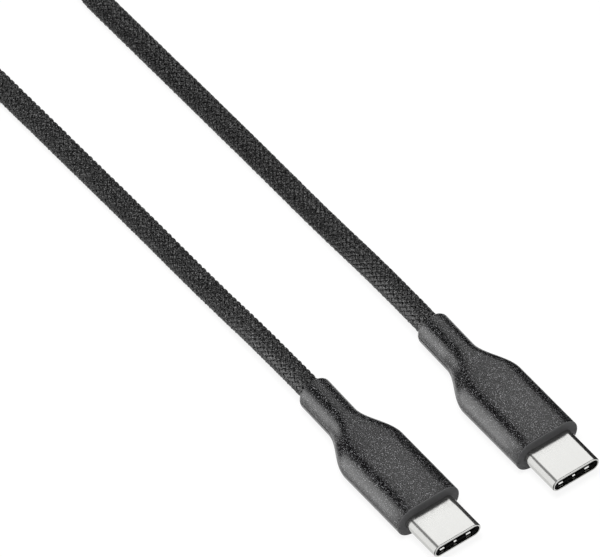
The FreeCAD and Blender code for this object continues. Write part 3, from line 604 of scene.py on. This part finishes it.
def shell_rings():
    """Rings from the back of the tube along the outside, over the lip and back inside."""
    rings = [(SHELL_BACK, shell_ring(0.0))]
    for i in range(LIP_RINGS + 1):
        angle = math.pi / 2 * i / LIP_RINGS
        rings.append((LIP_OUTSIDE * (1 - math.sin(angle)),
                      shell_ring(LIP_OUTSIDE * (1 - math.cos(angle)))))
    for i in range(1, LIP_RINGS + 1):
        angle = math.pi / 2 * i / LIP_RINGS
        rings.append((LIP_INSIDE * (1 - math.cos(angle)),
                      shell_ring(LIP_WALL - LIP_INSIDE * (1 - math.sin(angle)))))
    return rings + [(depth, shell_ring(SHELL_WALL)) for depth in (LIP_DEPTH, SHELL_BACK)]


steel_rings = shell_rings()
shells = []
for plug in PLUGS:
    mesh = skin(plug + "_drawn_shell", plug, steel_rings, [0] * len(steel_rings), SHEET_SHARP_DEGREES)
    shells.append(add_piece(plug + "_drawn_shell", mesh, [plug + "_shell"]))
print("shell faces", len(shells[0].data.polygons))

# %% [markdown]
# ## Grounding fingers
#
# Just inside the mouth a spring of thin steel lies under the contact housing. It is stamped from
# one strip, and its three fingers are bent up through notches in the housing, then down again at
# the tip, so that a socket's tongue slides over them. The slopes of their tips look out of the
# mouth, and they are the three bright spots in it. Each finger is a band that follows a bent
# profile, with its bends rounded off in small curves.

# %% Grounding fingers
SPRING_THICKNESS = 0.09 * MM
# Height of the strip's upper face from the axis, and the strip's ends behind the mouth
SPRING_FACE = -0.83 * MM
SPRING_BACK = 2.60 * MM
STRIP_FRONT = 2.00 * MM
STRIP_WIDTH = 6.0 * MM
# Where the fingers start behind the mouth, and each one's place across the plug and width
FINGER_ROOT = 2.30 * MM
FINGER_PLACES = ((-2.3 * MM, 0.74 * MM), (0.0, 0.44 * MM), (2.3 * MM, 0.74 * MM))
BEND_STEPS = 6
# Corners of a finger's upper face: depth behind the mouth, height from the axis, bend radius
FINGER_CORNERS = ((1.90 * MM, SPRING_FACE, 0.30 * MM), (0.67 * MM, -0.52 * MM, 0.12 * MM))
FINGER_TIP = (0.56 * MM, -0.69 * MM)


def bent_profile():
    """Points of a finger's upper face with their upward directions, from the root to the tip."""
    corners = [(FINGER_ROOT, SPRING_FACE)]
    corners += [corner[:2] for corner in FINGER_CORNERS] + [FINGER_TIP]
    points = [Vector(corners[0])]
    for (depth, height, radius), before, after in zip(FINGER_CORNERS, corners, corners[2:]):
        corner = Vector((depth, height))
        toward = (Vector(before) - corner).normalized()
        onward = (Vector(after) - corner).normalized()
        reach = radius * math.tan((math.pi - toward.angle(onward)) / 2)
        for i in range(BEND_STEPS + 1):
            share = i / BEND_STEPS
            first = corner + toward * reach * (1 - share)
            last = corner + onward * reach * share
            points.append(first.lerp(last, share))
    points.append(Vector(FINGER_TIP))
    profile = []
    for i, point in enumerate(points):
        along = (points[min(i + 1, len(points) - 1)] - points[max(i - 1, 0)]).normalized()
        profile.append((point, Vector((along.y, -along.x))))
    return profile


def band(plug, profile, middle, width):
    """Vertices and faces of a closed band of sheet along a profile."""
    tip, side = PLUGS[plug]
    vertices = []
    for point, outward in profile:
        under = point - outward * SPRING_THICKNESS
        for edge, spot in ((-1, point), (1, point), (1, under), (-1, under)):
            vertices.append((tip - spot.x, side + middle + edge * width / 2, AXIS_HEIGHT + spot.y))
    faces = [(4 * i + j, 4 * i + (j + 1) % 4, 4 * i + 4 + (j + 1) % 4, 4 * i + 4 + j)
             for i in range(len(profile) - 1) for j in range(4)]
    faces += [(3, 2, 1, 0), tuple(range(len(vertices) - 4, len(vertices)))]
    return vertices, faces


finger_profile = bent_profile()
strip_profile = [(Vector((depth, SPRING_FACE)), Vector((0, 1))) for depth in (SPRING_BACK, STRIP_FRONT)]
grounding = []
for plug in PLUGS:
    vertices = []
    faces = []
    bands = [(strip_profile, 0.0, STRIP_WIDTH)]
    bands += [(finger_profile, middle, width) for middle, width in FINGER_PLACES]
    for profile, middle, width in bands:
        band_vertices, band_faces = band(plug, profile, middle, width)
        faces += [tuple(len(vertices) + corner for corner in face) for face in band_faces]
        vertices += band_vertices
    mesh = bpy.data.meshes.new(plug + "_grounding_fingers")
    mesh.from_pydata(vertices, [], faces)
    mesh.shade_smooth()
    mesh.set_sharp_from_angle(angle=math.radians(SHEET_SHARP_DEGREES))
    mesh.update()
    grounding.append(add_piece(plug + "_grounding_fingers", mesh,
                               [plug + "_lower_ground_spring"]))
print("faces of a grounding spring", len(grounding[0].data.polygons))

# %% [markdown]
# ## Finishes that show
#
# **Spark-eroded elastomer.** The grain of the tool is about 0.13 mm across, which is a pixel of the
# picture. Its many small facets lean this way and that, and each mirrors another part of the room.
# The bright speckle is painted glints: pale spots in the colour on the crests of the grain, over a
# near-black base, so the black looks charcoal with a fine bright speckle.

# %% Spark-eroded elastomer
GRAIN = 0.13 * MM

spark_eroded_elastomer, tree = begin_material("spark_eroded_elastomer")
where = add_node(tree, "ShaderNodeTexCoord")
grain = add_node(tree, "ShaderNodeTexNoise", {
    "Vector": where.outputs["Object"], "Scale": 1 / GRAIN, "Detail": 1.0, "Roughness": 0.6})
# Painted glints: pale spots on the crests of the grain, over a near-black base
tone = add_node(tree, "ShaderNodeValToRGB", {"Fac": grain.outputs["Fac"]},
                stops=[(0.60, "#040405"), (0.69, "#88888a")])
dents = add_node(tree, "ShaderNodeBump", {
    "Strength": 1.0, "Distance": 0.04 * MM, "Height": grain.outputs["Fac"]})
surface = add_node(tree, "ShaderNodeBsdfPrincipled", {
    "Base Color": tone.outputs["Color"], "Roughness": 0.20, "IOR": 1.5,
    "Normal": dents.outputs["Normal"]})
add_node(tree, "ShaderNodeOutputMaterial", {"Surface": surface.outputs["BSDF"]})
print(spark_eroded_elastomer.name, "with a grain of", GRAIN / MM, "mm")

# %% [markdown]
# ** Plain moulded elastomer.** The front face comes from a bead-blasted face of the tool, so it is
# even and dull, with only a faint cloudiness from the flow of the plastic. Its grey is painted light:
# the black elastomer is coloured lighter here than on the grained sides, in place of the soft light
# that the face reflects.

# %% Plain moulded elastomer
FLOW_MARK = 2.5 * MM

plain_elastomer, tree = begin_material("plain_moulded_elastomer")
where = add_node(tree, "ShaderNodeTexCoord")
flow = add_node(tree, "ShaderNodeTexNoise", {
    "Vector": where.outputs["Object"], "Scale": 1 / FLOW_MARK, "Detail": 3.0})
# Painted light: a lighter grey than the grained sides, standing for the soft light the face reflects
tone = add_node(tree, "ShaderNodeValToRGB", {"Fac": flow.outputs["Fac"]},
                stops=[(0.35, "#4a4a4b"), (0.70, "#525253")])
surface = add_node(tree, "ShaderNodeBsdfPrincipled", {
    "Base Color": tone.outputs["Color"], "Roughness": 0.60, "IOR": 1.5, "Specular IOR Level": 0.10})
add_node(tree, "ShaderNodeOutputMaterial", {"Surface": surface.outputs["BSDF"]})
for piece in overmoulds:
    piece.data.materials.append(spark_eroded_elastomer)
    piece.data.materials.append(plain_elastomer)
print("overmould materials", [material.name for material in overmoulds[0].data.materials])

# %% [markdown]
# **Drawn stainless steel.** Tumbled and polished after drawing, so it mirrors the white tent
# softly. Only a trace is left of the lines that the die drew along it.

# %% Drawn stainless steel
DRAW_LINE = 0.30 * MM
DRAW_LINE_LENGTH = 6.0 * MM

drawn_steel, tree = begin_material("drawn_stainless_steel")
where = add_node(tree, "ShaderNodeTexCoord")
stretch = add_node(tree, "ShaderNodeMapping", {
    "Vector": where.outputs["Object"],
    "Scale": (1 / DRAW_LINE_LENGTH, 1 / DRAW_LINE, 1 / DRAW_LINE)})
lines = add_node(tree, "ShaderNodeTexNoise", {
    "Vector": stretch.outputs["Vector"], "Scale": 1.0, "Detail": 2.0})
polish = add_node(tree, "ShaderNodeMapRange", {
    "Value": lines.outputs["Fac"], "From Min": 0.3, "From Max": 0.7, "To Min": 0.16, "To Max": 0.20})
scratches = add_node(tree, "ShaderNodeBump", {
    "Strength": 0.08, "Distance": 0.004 * MM, "Height": lines.outputs["Fac"]})
surface = add_node(tree, "ShaderNodeBsdfPrincipled", {
    "Base Color": linear("#c0c0be"), "Metallic": 1.0, "Roughness": polish.outputs["Result"],
    "Normal": scratches.outputs["Normal"]})
add_node(tree, "ShaderNodeOutputMaterial", {"Surface": surface.outputs["BSDF"]})
for piece in shells:
    piece.data.materials.append(drawn_steel)
print("shell material", shells[0].data.materials[0].name)

# %% [markdown]
# ** Nylon yarn.** Each yarn is a bundle of fine filaments with a slight gloss. Filaments that lie
# loose catch the light, and these glints are painted into the colour as pale spots, much brighter
# than the rest. A filament is only some 0.03 mm thick, too fine to show in the picture, so the
# pattern draws tufts of 0.16 mm, and the pale tufts are painted glints.

# %% Nylon yarn
TUFT = 0.16 * MM
GLINT = 0.45 * MM

nylon_yarn, tree = begin_material("woven_nylon_yarn")
where = add_node(tree, "ShaderNodeTexCoord")
tufts_and_glints = add_node(tree, "ShaderNodeTexNoise", {
    "Vector": where.outputs["Object"], "Scale": 1 / TUFT, "Detail": 1.0, "Roughness": 0.6})
# Painted glints: pale tufts on near-black, for filaments that catch the light
tone = add_node(tree, "ShaderNodeValToRGB", {"Fac": tufts_and_glints.outputs["Fac"]},
                stops=[(0.54, "#050506"), (0.68, "#6e6e6e")])
sparkle = add_node(tree, "ShaderNodeTexNoise", {
    "Vector": where.outputs["Object"], "Scale": 1 / GLINT, "Detail": 1.0})
gloss = add_node(tree, "ShaderNodeMapRange", {
    "Value": sparkle.outputs["Fac"], "From Min": 0.35, "From Max": 0.65, "To Min": 0.50, "To Max": 0.28})
hairs = add_node(tree, "ShaderNodeBump", {
    "Strength": 0.8, "Distance": 0.04 * MM, "Height": tufts_and_glints.outputs["Fac"]})
surface = add_node(tree, "ShaderNodeBsdfPrincipled", {
    "Base Color": tone.outputs["Color"], "Roughness": gloss.outputs["Result"], "IOR": 1.53,
    "Specular IOR Level": 0.4, "Normal": hairs.outputs["Normal"]})
add_node(tree, "ShaderNodeOutputMaterial", {"Surface": surface.outputs["BSDF"]})
for piece in braids:
    piece.data.materials.append(nylon_yarn)
print(nylon_yarn.name, "on", len(braids), "pieces")

# %% [markdown]
# **Extruded jacket.** Under the braid lies a black elastomer tube. It shows only as the dark in
# the gaps, so it is kept deep and dull, a little uneven from the extruder.

# %% Extruded jacket
RIPPLE = 0.8 * MM

jacket_skin, tree = begin_material("extruded_jacket")
where = add_node(tree, "ShaderNodeTexCoord")
ripple = add_node(tree, "ShaderNodeTexNoise", {
    "Vector": where.outputs["Object"], "Scale": 1 / RIPPLE, "Detail": 1.0})
tone = add_node(tree, "ShaderNodeValToRGB", {"Fac": ripple.outputs["Fac"]},
                stops=[(0.0, "#0b0b0c"), (1.0, "#141415")])
surface = add_node(tree, "ShaderNodeBsdfPrincipled", {
    "Base Color": tone.outputs["Color"], "Roughness": 0.8})
add_node(tree, "ShaderNodeOutputMaterial", {"Surface": surface.outputs["BSDF"]})
cord_data.materials.append(jacket_skin)
print(jacket_skin.name, "with a ripple of", RIPPLE / MM, "mm")

# %% [markdown]
# ## Finishes inside the plug
#
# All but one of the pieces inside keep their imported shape. Each gets the finish of the real part,
# and most of these finishes stand in one table, because they differ only in colour, gloss and
# grain. The pressed braid is the cord's end inside the moulding.

# %% Mouldings and metals inside
INSIDE = {
    # slot: name, darker and lighter colour, metallic, roughness, specular level, grain in mm
    "insulator": ("moulded_liquid_crystal_polymer", "#070708", "#101011", 0.0, 0.80, 0.12, 0.30),
    "contact_gilt": ("gold_plated_bronze", "#c99a3f", "#e3bd66", 1.0, 0.22, 0.5, 0.40),
    "spring_steel": ("nickel_plated_spring_steel", "#d6d6d4", "#ececea", 1.0, 0.30, 0.5, 0.35),
    "circuit_board": ("solder_masked_glass_laminate", "#0d4a26", "#17663a", 0.0, 0.35, 0.5, 0.25),
    "shield_steel": ("drawn_tinplate", "#b4b4b3", "#cfcfce", 1.0, 0.30, 0.5, 0.60),
    "inner_plastic": ("cast_polyethylene", "#d8d6cc", "#e8e6de", 0.0, 0.40, 0.5, 0.90),
    "ferrule_brass": ("crimped_brass", "#a8873f", "#c9a65a", 1.0, 0.30, 0.5, 0.50),
    "cord_braid": ("pressed_nylon_braid", "#0e0e0f", "#2c2c2d", 0.0, 0.70, 0.3, 0.30),
}

inside_finishes = {}
for slot_name, (name, dark, light, metallic, roughness, shine, grain_mm) in INSIDE.items():
    material, tree = begin_material(name)
    where = add_node(tree, "ShaderNodeTexCoord")
    marks = add_node(tree, "ShaderNodeTexNoise", {
        "Vector": where.outputs["Object"], "Scale": 1 / (grain_mm * MM), "Detail": 2.0})
    tone = add_node(tree, "ShaderNodeValToRGB", {"Fac": marks.outputs["Fac"]},
                    stops=[(0.35, dark), (0.65, light)])
    dents = add_node(tree, "ShaderNodeBump", {
        "Strength": 0.3, "Distance": 0.01 * MM, "Height": marks.outputs["Fac"]})
    surface = add_node(tree, "ShaderNodeBsdfPrincipled", {
        "Base Color": tone.outputs["Color"], "Metallic": metallic, "Roughness": roughness,
        "Specular IOR Level": shine, "Normal": dents.outputs["Normal"]})
    add_node(tree, "ShaderNodeOutputMaterial", {"Surface": surface.outputs["BSDF"]})
    inside_finishes[slot_name] = material
for piece in grounding:
    piece.data.materials.append(inside_finishes["spring_steel"])
print("finishes inside", len(inside_finishes))

# %% [markdown]
# **Ceramic chip.** A bypass capacitor is a brown fired block with tinned ends, so its finish
# follows the place along the block: the outer fifth at both ends is metal.

# %% Ceramic chip
TINNED_END = 0.2

ceramic_chip, tree = begin_material("fired_ceramic_with_tinned_ends")
where = add_node(tree, "ShaderNodeTexCoord")
split = add_node(tree, "ShaderNodeSeparateXYZ", {"Vector": where.outputs["Generated"]})
from_middle = add_node(tree, "ShaderNodeMath", {0: split.outputs["X"], 1: 0.5}, operation="SUBTRACT")
reach = add_node(tree, "ShaderNodeMath", {0: from_middle.outputs["Value"]}, operation="ABSOLUTE")
tinned = add_node(tree, "ShaderNodeMath", {0: reach.outputs["Value"], 1: 0.5 - TINNED_END},
                  operation="GREATER_THAN")
tone = add_node(tree, "ShaderNodeMix", {
    "Factor": tinned.outputs["Value"], "A": linear("#8a6a45"), "B": linear("#d2d2d0")},
    data_type="RGBA")
surface = add_node(tree, "ShaderNodeBsdfPrincipled", {
    "Base Color": tone.outputs["Result"], "Metallic": tinned.outputs["Value"], "Roughness": 0.35})
add_node(tree, "ShaderNodeOutputMaterial", {"Surface": surface.outputs["BSDF"]})
inside_finishes["ceramic_chip"] = ceramic_chip
print(ceramic_chip.name, TINNED_END, "of its length at each end")

# %% [markdown]
# **Extruded cores.** The five cores are told apart by colour: power red, ground black, and the
# signals green, white and blue. They lie in two rows, and their place across the card decides
# which is which, so each row has its colours in stripes with hard edges.

# %% Extruded cores
UPPER_CORES = [(0.0, "#a81c14"), (0.33, "#1c6e38"), (0.66, "#161617")]
LOWER_CORES = [(0.0, "#dededa"), (0.5, "#1d4f9a")]

extruded_cores, tree = begin_material("extruded_core_insulation")
where = add_node(tree, "ShaderNodeTexCoord")
split = add_node(tree, "ShaderNodeSeparateXYZ", {"Vector": where.outputs["Generated"]})
upper_row = add_node(tree, "ShaderNodeValToRGB", {"Fac": split.outputs["Y"]}, stops=UPPER_CORES)
upper_row.color_ramp.interpolation = "CONSTANT"
lower_row = add_node(tree, "ShaderNodeValToRGB", {"Fac": split.outputs["Y"]}, stops=LOWER_CORES)
lower_row.color_ramp.interpolation = "CONSTANT"
above = add_node(tree, "ShaderNodeMath", {0: split.outputs["Z"], 1: 0.5}, operation="GREATER_THAN")
tone = add_node(tree, "ShaderNodeMix", {
    "Factor": above.outputs["Value"], "A": lower_row.outputs["Color"],
    "B": upper_row.outputs["Color"]}, data_type="RGBA")
surface = add_node(tree, "ShaderNodeBsdfPrincipled", {
    "Base Color": tone.outputs["Result"], "Roughness": 0.35})
add_node(tree, "ShaderNodeOutputMaterial", {"Surface": surface.outputs["BSDF"]})
inside_finishes["core_insulation"] = extruded_cores
print(extruded_cores.name, "in", len(UPPER_CORES) + len(LOWER_CORES), "colours")

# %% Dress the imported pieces
dressed = 0
slot_of = {part["node"]: part["material_slot"] for part in frame["record"]["subparts"]}
for node, thing in frame["nodes"].items():
    finish = inside_finishes.get(slot_of[node])
    if finish is None:
        continue
    thing.data.materials.clear()
    thing.data.materials.append(finish)
    dressed += 1
print("dressed", dressed, "of", len(frame["nodes"]))

# %% [markdown]
# ## Table and light
#
# The picture was taken in a white tent: white table, white walls, and a soft lamp overhead. To
# the lens and to mirrors, most of the table's white is a glow of its own, so that it comes out
# nearly pure. The rest takes light as paper does, so that the cable keeps a soft shadow.

# %% Table
FLOOR_SIZE = 8.0
FLOOR_GAP = 0.05 * MM
GLOW_SHARE = 0.86


def seen_rays(tree):
    """Socket that is 1 for what the lens, a mirror or glass sees, and 0 for soft light."""
    path = add_node(tree, "ShaderNodeLightPath")
    seen = path.outputs["Is Camera Ray"]
    for kind in ("Is Glossy Ray", "Is Transmission Ray"):
        either = add_node(tree, "ShaderNodeMath", {0: seen, 1: path.outputs[kind]}, operation="MAXIMUM")
        seen = either.outputs["Value"]
    return seen


floor_mesh = bpy.data.meshes.new("white_table")
half = FLOOR_SIZE / 2
floor_mesh.from_pydata([(-half, -half, -FLOOR_GAP), (half, -half, -FLOOR_GAP),
                        (half, half, -FLOOR_GAP), (-half, half, -FLOOR_GAP)], [], [(0, 1, 2, 3)])
floor = add_object("white_table", floor_mesh)

white_paper, tree = begin_material("white_background_paper")
glow_share = add_node(tree, "ShaderNodeMath", {0: seen_rays(tree), 1: GLOW_SHARE}, operation="MULTIPLY")
glow = add_node(tree, "ShaderNodeEmission", {"Color": (1, 1, 1, 1), "Strength": 1.0})
paper = add_node(tree, "ShaderNodeBsdfDiffuse", {"Color": linear("#fbfbfa")})
both = add_node(tree, "ShaderNodeMixShader", {
    0: glow_share.outputs["Value"], 1: paper.outputs["BSDF"], 2: glow.outputs["Emission"]})
add_node(tree, "ShaderNodeOutputMaterial", {"Surface": both.outputs["Shader"]})
floor_mesh.materials.append(white_paper)
print("floor", FLOOR_SIZE, "m")

# %% [markdown]
# The white walls are the world. A camera, a mirror or glass sees them white, and matte surfaces
# get a soft light of them from all sides.

# %% Walls
WALL_LIGHT = 0.55
WALL_WHITE = 1.0

world = bpy.data.worlds.new("white_tent")
bpy.context.scene.world = world
world.use_nodes = True
tree = world.node_tree
tree.nodes.clear()
soft = add_node(tree, "ShaderNodeBackground", {"Color": (1, 1, 1, 1), "Strength": WALL_LIGHT})
white = add_node(tree, "ShaderNodeBackground", {"Color": (1, 1, 1, 1), "Strength": WALL_WHITE})
both = add_node(tree, "ShaderNodeMixShader", {
    0: seen_rays(tree), 1: soft.outputs["Background"], 2: white.outputs["Background"]})
add_node(tree, "ShaderNodeOutputWorld", {"Surface": both.outputs["Shader"]})
print("walls light with", WALL_LIGHT, "and are seen as", WALL_WHITE)

# %% [markdown]
# One square softbox hangs a metre above the plugs, a little to their left, and leans that way. It
# is almost half a metre wide, so the shadow on the table has no hard edge. Reflections show the
# tent and the cards below instead of the box.

# %% Lamp
LAMP_HEIGHT = 1.0
LAMP_ALONG = 0.05
LAMP_ACROSS = -0.25
LAMP_SIDE = 0.45
LAMP_WATTS = 9.5

light = bpy.data.lights.new("overhead_softbox", "AREA")
light.shape = "SQUARE"
light.size = LAMP_SIDE
light.energy = LAMP_WATTS
lamp = add_object("overhead_softbox", light)
lamp.location = (LAMP_ALONG, LAMP_ACROSS, LAMP_HEIGHT)
lamp.rotation_euler = (math.atan2(LAMP_ACROSS, LAMP_HEIGHT), math.atan2(LAMP_ALONG, LAMP_HEIGHT), 0)
lamp.visible_camera = False
lamp.visible_glossy = False
print("lamp", LAMP_WATTS, "W at", LAMP_HEIGHT, "m")

# %% [markdown]
# ## Light cards
#
# Black and steel things show what stands round them more than their own colour, and in a tent that
# is white all round they look shapeless. A photographer therefore stands white, grey and black
# cards outside the picture. Every long face of a plug runs along X, so its mirror image of the room
# is a strip bent round the X axis, and the cards are such strips too. They stand a good metre away,
# and only reflections see them: the soft light on matte things comes from the tent and the softbox.
# Angles run from straight up over the left of the plugs, in degrees. The windows behind and to the
# left brighten the tops and the left sides, and the grey and black cards between them draw the dark
# bands. The window and the board in front light the lips of the shells and the fingers inside.

# %% Light cards
CARD_DISTANCE = 1.2
# Degrees that one flat strip of a bent card spans at most
CARD_STEP = 4.0
# The board stands low in front of the mouths; its corners are in metres
FRONT_BOARD = [(1.0, -0.2, 0.05), (1.0, 1.2, 0.05), (0.85, 1.2, 0.55), (0.85, -0.2, 0.55)]
FRONT_BOARD_BRIGHTNESS = 1.1
CARDS = {
    # name: first and last angle, back and front end in card distances, brightness
    "back_window": (-58, 6, -1.6, -0.25, 1.6),
    "grey_card": (12, 46, -1.6, -0.2, 0.36),
    "left_window": (50, 88, -1.4, -0.2, 1.35),
    "front_left_black_card": (12, 88, -0.2, 0.5, 0.03),
    "right_black_card": (-90, -62, -1.6, 0.0, 0.03),
    "overhead_black_card": (-46, -8, -0.23, 0.42, 0.04),
    "front_window": (-46, -8, 0.46, 1.25, 1.7),
}


def stand_card(name, vertices, faces, brightness):
    """Card that shines evenly and that only reflections see."""
    material, tree = begin_material(name)
    glow = add_node(tree, "ShaderNodeEmission", {"Color": (1, 1, 1, 1), "Strength": brightness})
    add_node(tree, "ShaderNodeOutputMaterial", {"Surface": glow.outputs["Emission"]})
    mesh = bpy.data.meshes.new(name)
    mesh.from_pydata(vertices, [], faces)
    mesh.materials.append(material)
    card = add_object(name, mesh)
    card.visible_camera = False
    card.visible_diffuse = False
    card.visible_shadow = False
    card.visible_transmission = False


for name, (first, last, back_end, front_end, brightness) in CARDS.items():
    steps = math.ceil((last - first) / CARD_STEP)
    vertices = []
    for i in range(steps + 1):
        angle = math.radians(first + (last - first) * i / steps)
        for end in (back_end, front_end):
            vertices.append((CARD_DISTANCE * end, -CARD_DISTANCE * math.sin(angle),
                             CARD_DISTANCE * math.cos(angle)))
    faces = [(2 * i, 2 * i + 1, 2 * i + 3, 2 * i + 2) for i in range(steps)]
    stand_card(name, vertices, faces, brightness)
stand_card("front_board", FRONT_BOARD, [(0, 1, 2, 3)], FRONT_BOARD_BRIGHTNESS)
print("large cards", len(CARDS) + 1)

# %% [markdown]
# Small cards stand round each plug, as in the photography of watches. On the table there is a white
# one to the left, brighter along the black body than along the steel, and a black one to the right,
# and they also keep one plug's dark reflection out of the other's side. Black screens beside the
# lip, before it and behind the flare keep the steel's edge crisp and the flare dark. A black hood
# hangs over the body and another over the neck and the lead, each with a window of bright slats
# towards its right. The windows put the soft light on the flat top and leave the left shoulder
# dark, and the gaps between the slats make the grain sparkle.

# %% Small cards
LOUVRES = 4
SMALL_CARDS = {
    # name: two opposite corners, each x, across and height in mm, and brightness
    "body_reflector": ((-34.0, -10.2, 0.0), (5.5, -10.2, 11.0), 3.8),
    "shell_reflector": ((5.5, -10.2, 0.0), (16.3, -10.2, 11.0), 1.35),
    "lip_screen": ((16.3, -10.2, 0.0), (21.0, -10.2, 11.0), 0.03),
    "table_screen": ((17.5, -10.2, 0.1), (25.0, -4.3, 0.1), 0.03),
    "right_screen": ((-100.0, 9.8, 0.0), (24.0, 9.8, 11.0), 0.03),
    "flare_screen": ((-11.0, -9.5, 0.3), (-11.0, -4.2, 9.0), 0.03),
    "body_hood": ((-8.0, -10.6, 15.3), (4.5, 10.2, 15.3), 0.03),
    "body_window": ((-8.0, 1.4, 15.0), (4.5, 9.7, 15.0), 3.2),
    "neck_hood": ((-100.0, -9.5, 15.3), (-8.0, 10.2, 15.3), 0.06),
    "neck_window": ((-100.0, 2.4, 15.0), (-8.0, 9.7, 15.0), 2.4),
}


def rectangle(first, last):
    """Corners of an upright or level card between two opposite corners."""
    if first[0] == last[0]:
        second = (first[0], last[1], first[2])
    else:
        second = (last[0], first[1], first[2])
    fourth = tuple(a + b - c for a, b, c in zip(first, last, second))
    return [first, second, last, fourth]


def louvres(first, last):
    """Bright slats of a window, as opposite corners, with gaps as wide between them."""
    width = (last[1] - first[1]) / (2 * LOUVRES - 1)
    starts = [first[1] + 2 * i * width for i in range(LOUVRES)]
    return [((first[0], start, first[2]), (last[0], start + width, last[2])) for start in starts]


for plug, (tip, side) in PLUGS.items():
    for name, (first, last, brightness) in SMALL_CARDS.items():
        pieces = louvres(first, last) if name.endswith("window") else [(first, last)]
        corners = [(x * MM, side + across * MM, height * MM)
                   for piece in pieces for x, across, height in rectangle(*piece)]
        faces = [(4 * i, 4 * i + 1, 4 * i + 2, 4 * i + 3) for i in range(len(pieces))]
        stand_card(plug + "_" + name, corners, faces, brightness)
print("small cards", len(SMALL_CARDS) * len(PLUGS))

# %% [markdown]
# ## Finish
#
# The standard view transform shows a colour as it is written.

# %% Finish
bpy.context.scene.view_settings.view_transform = "Standard"
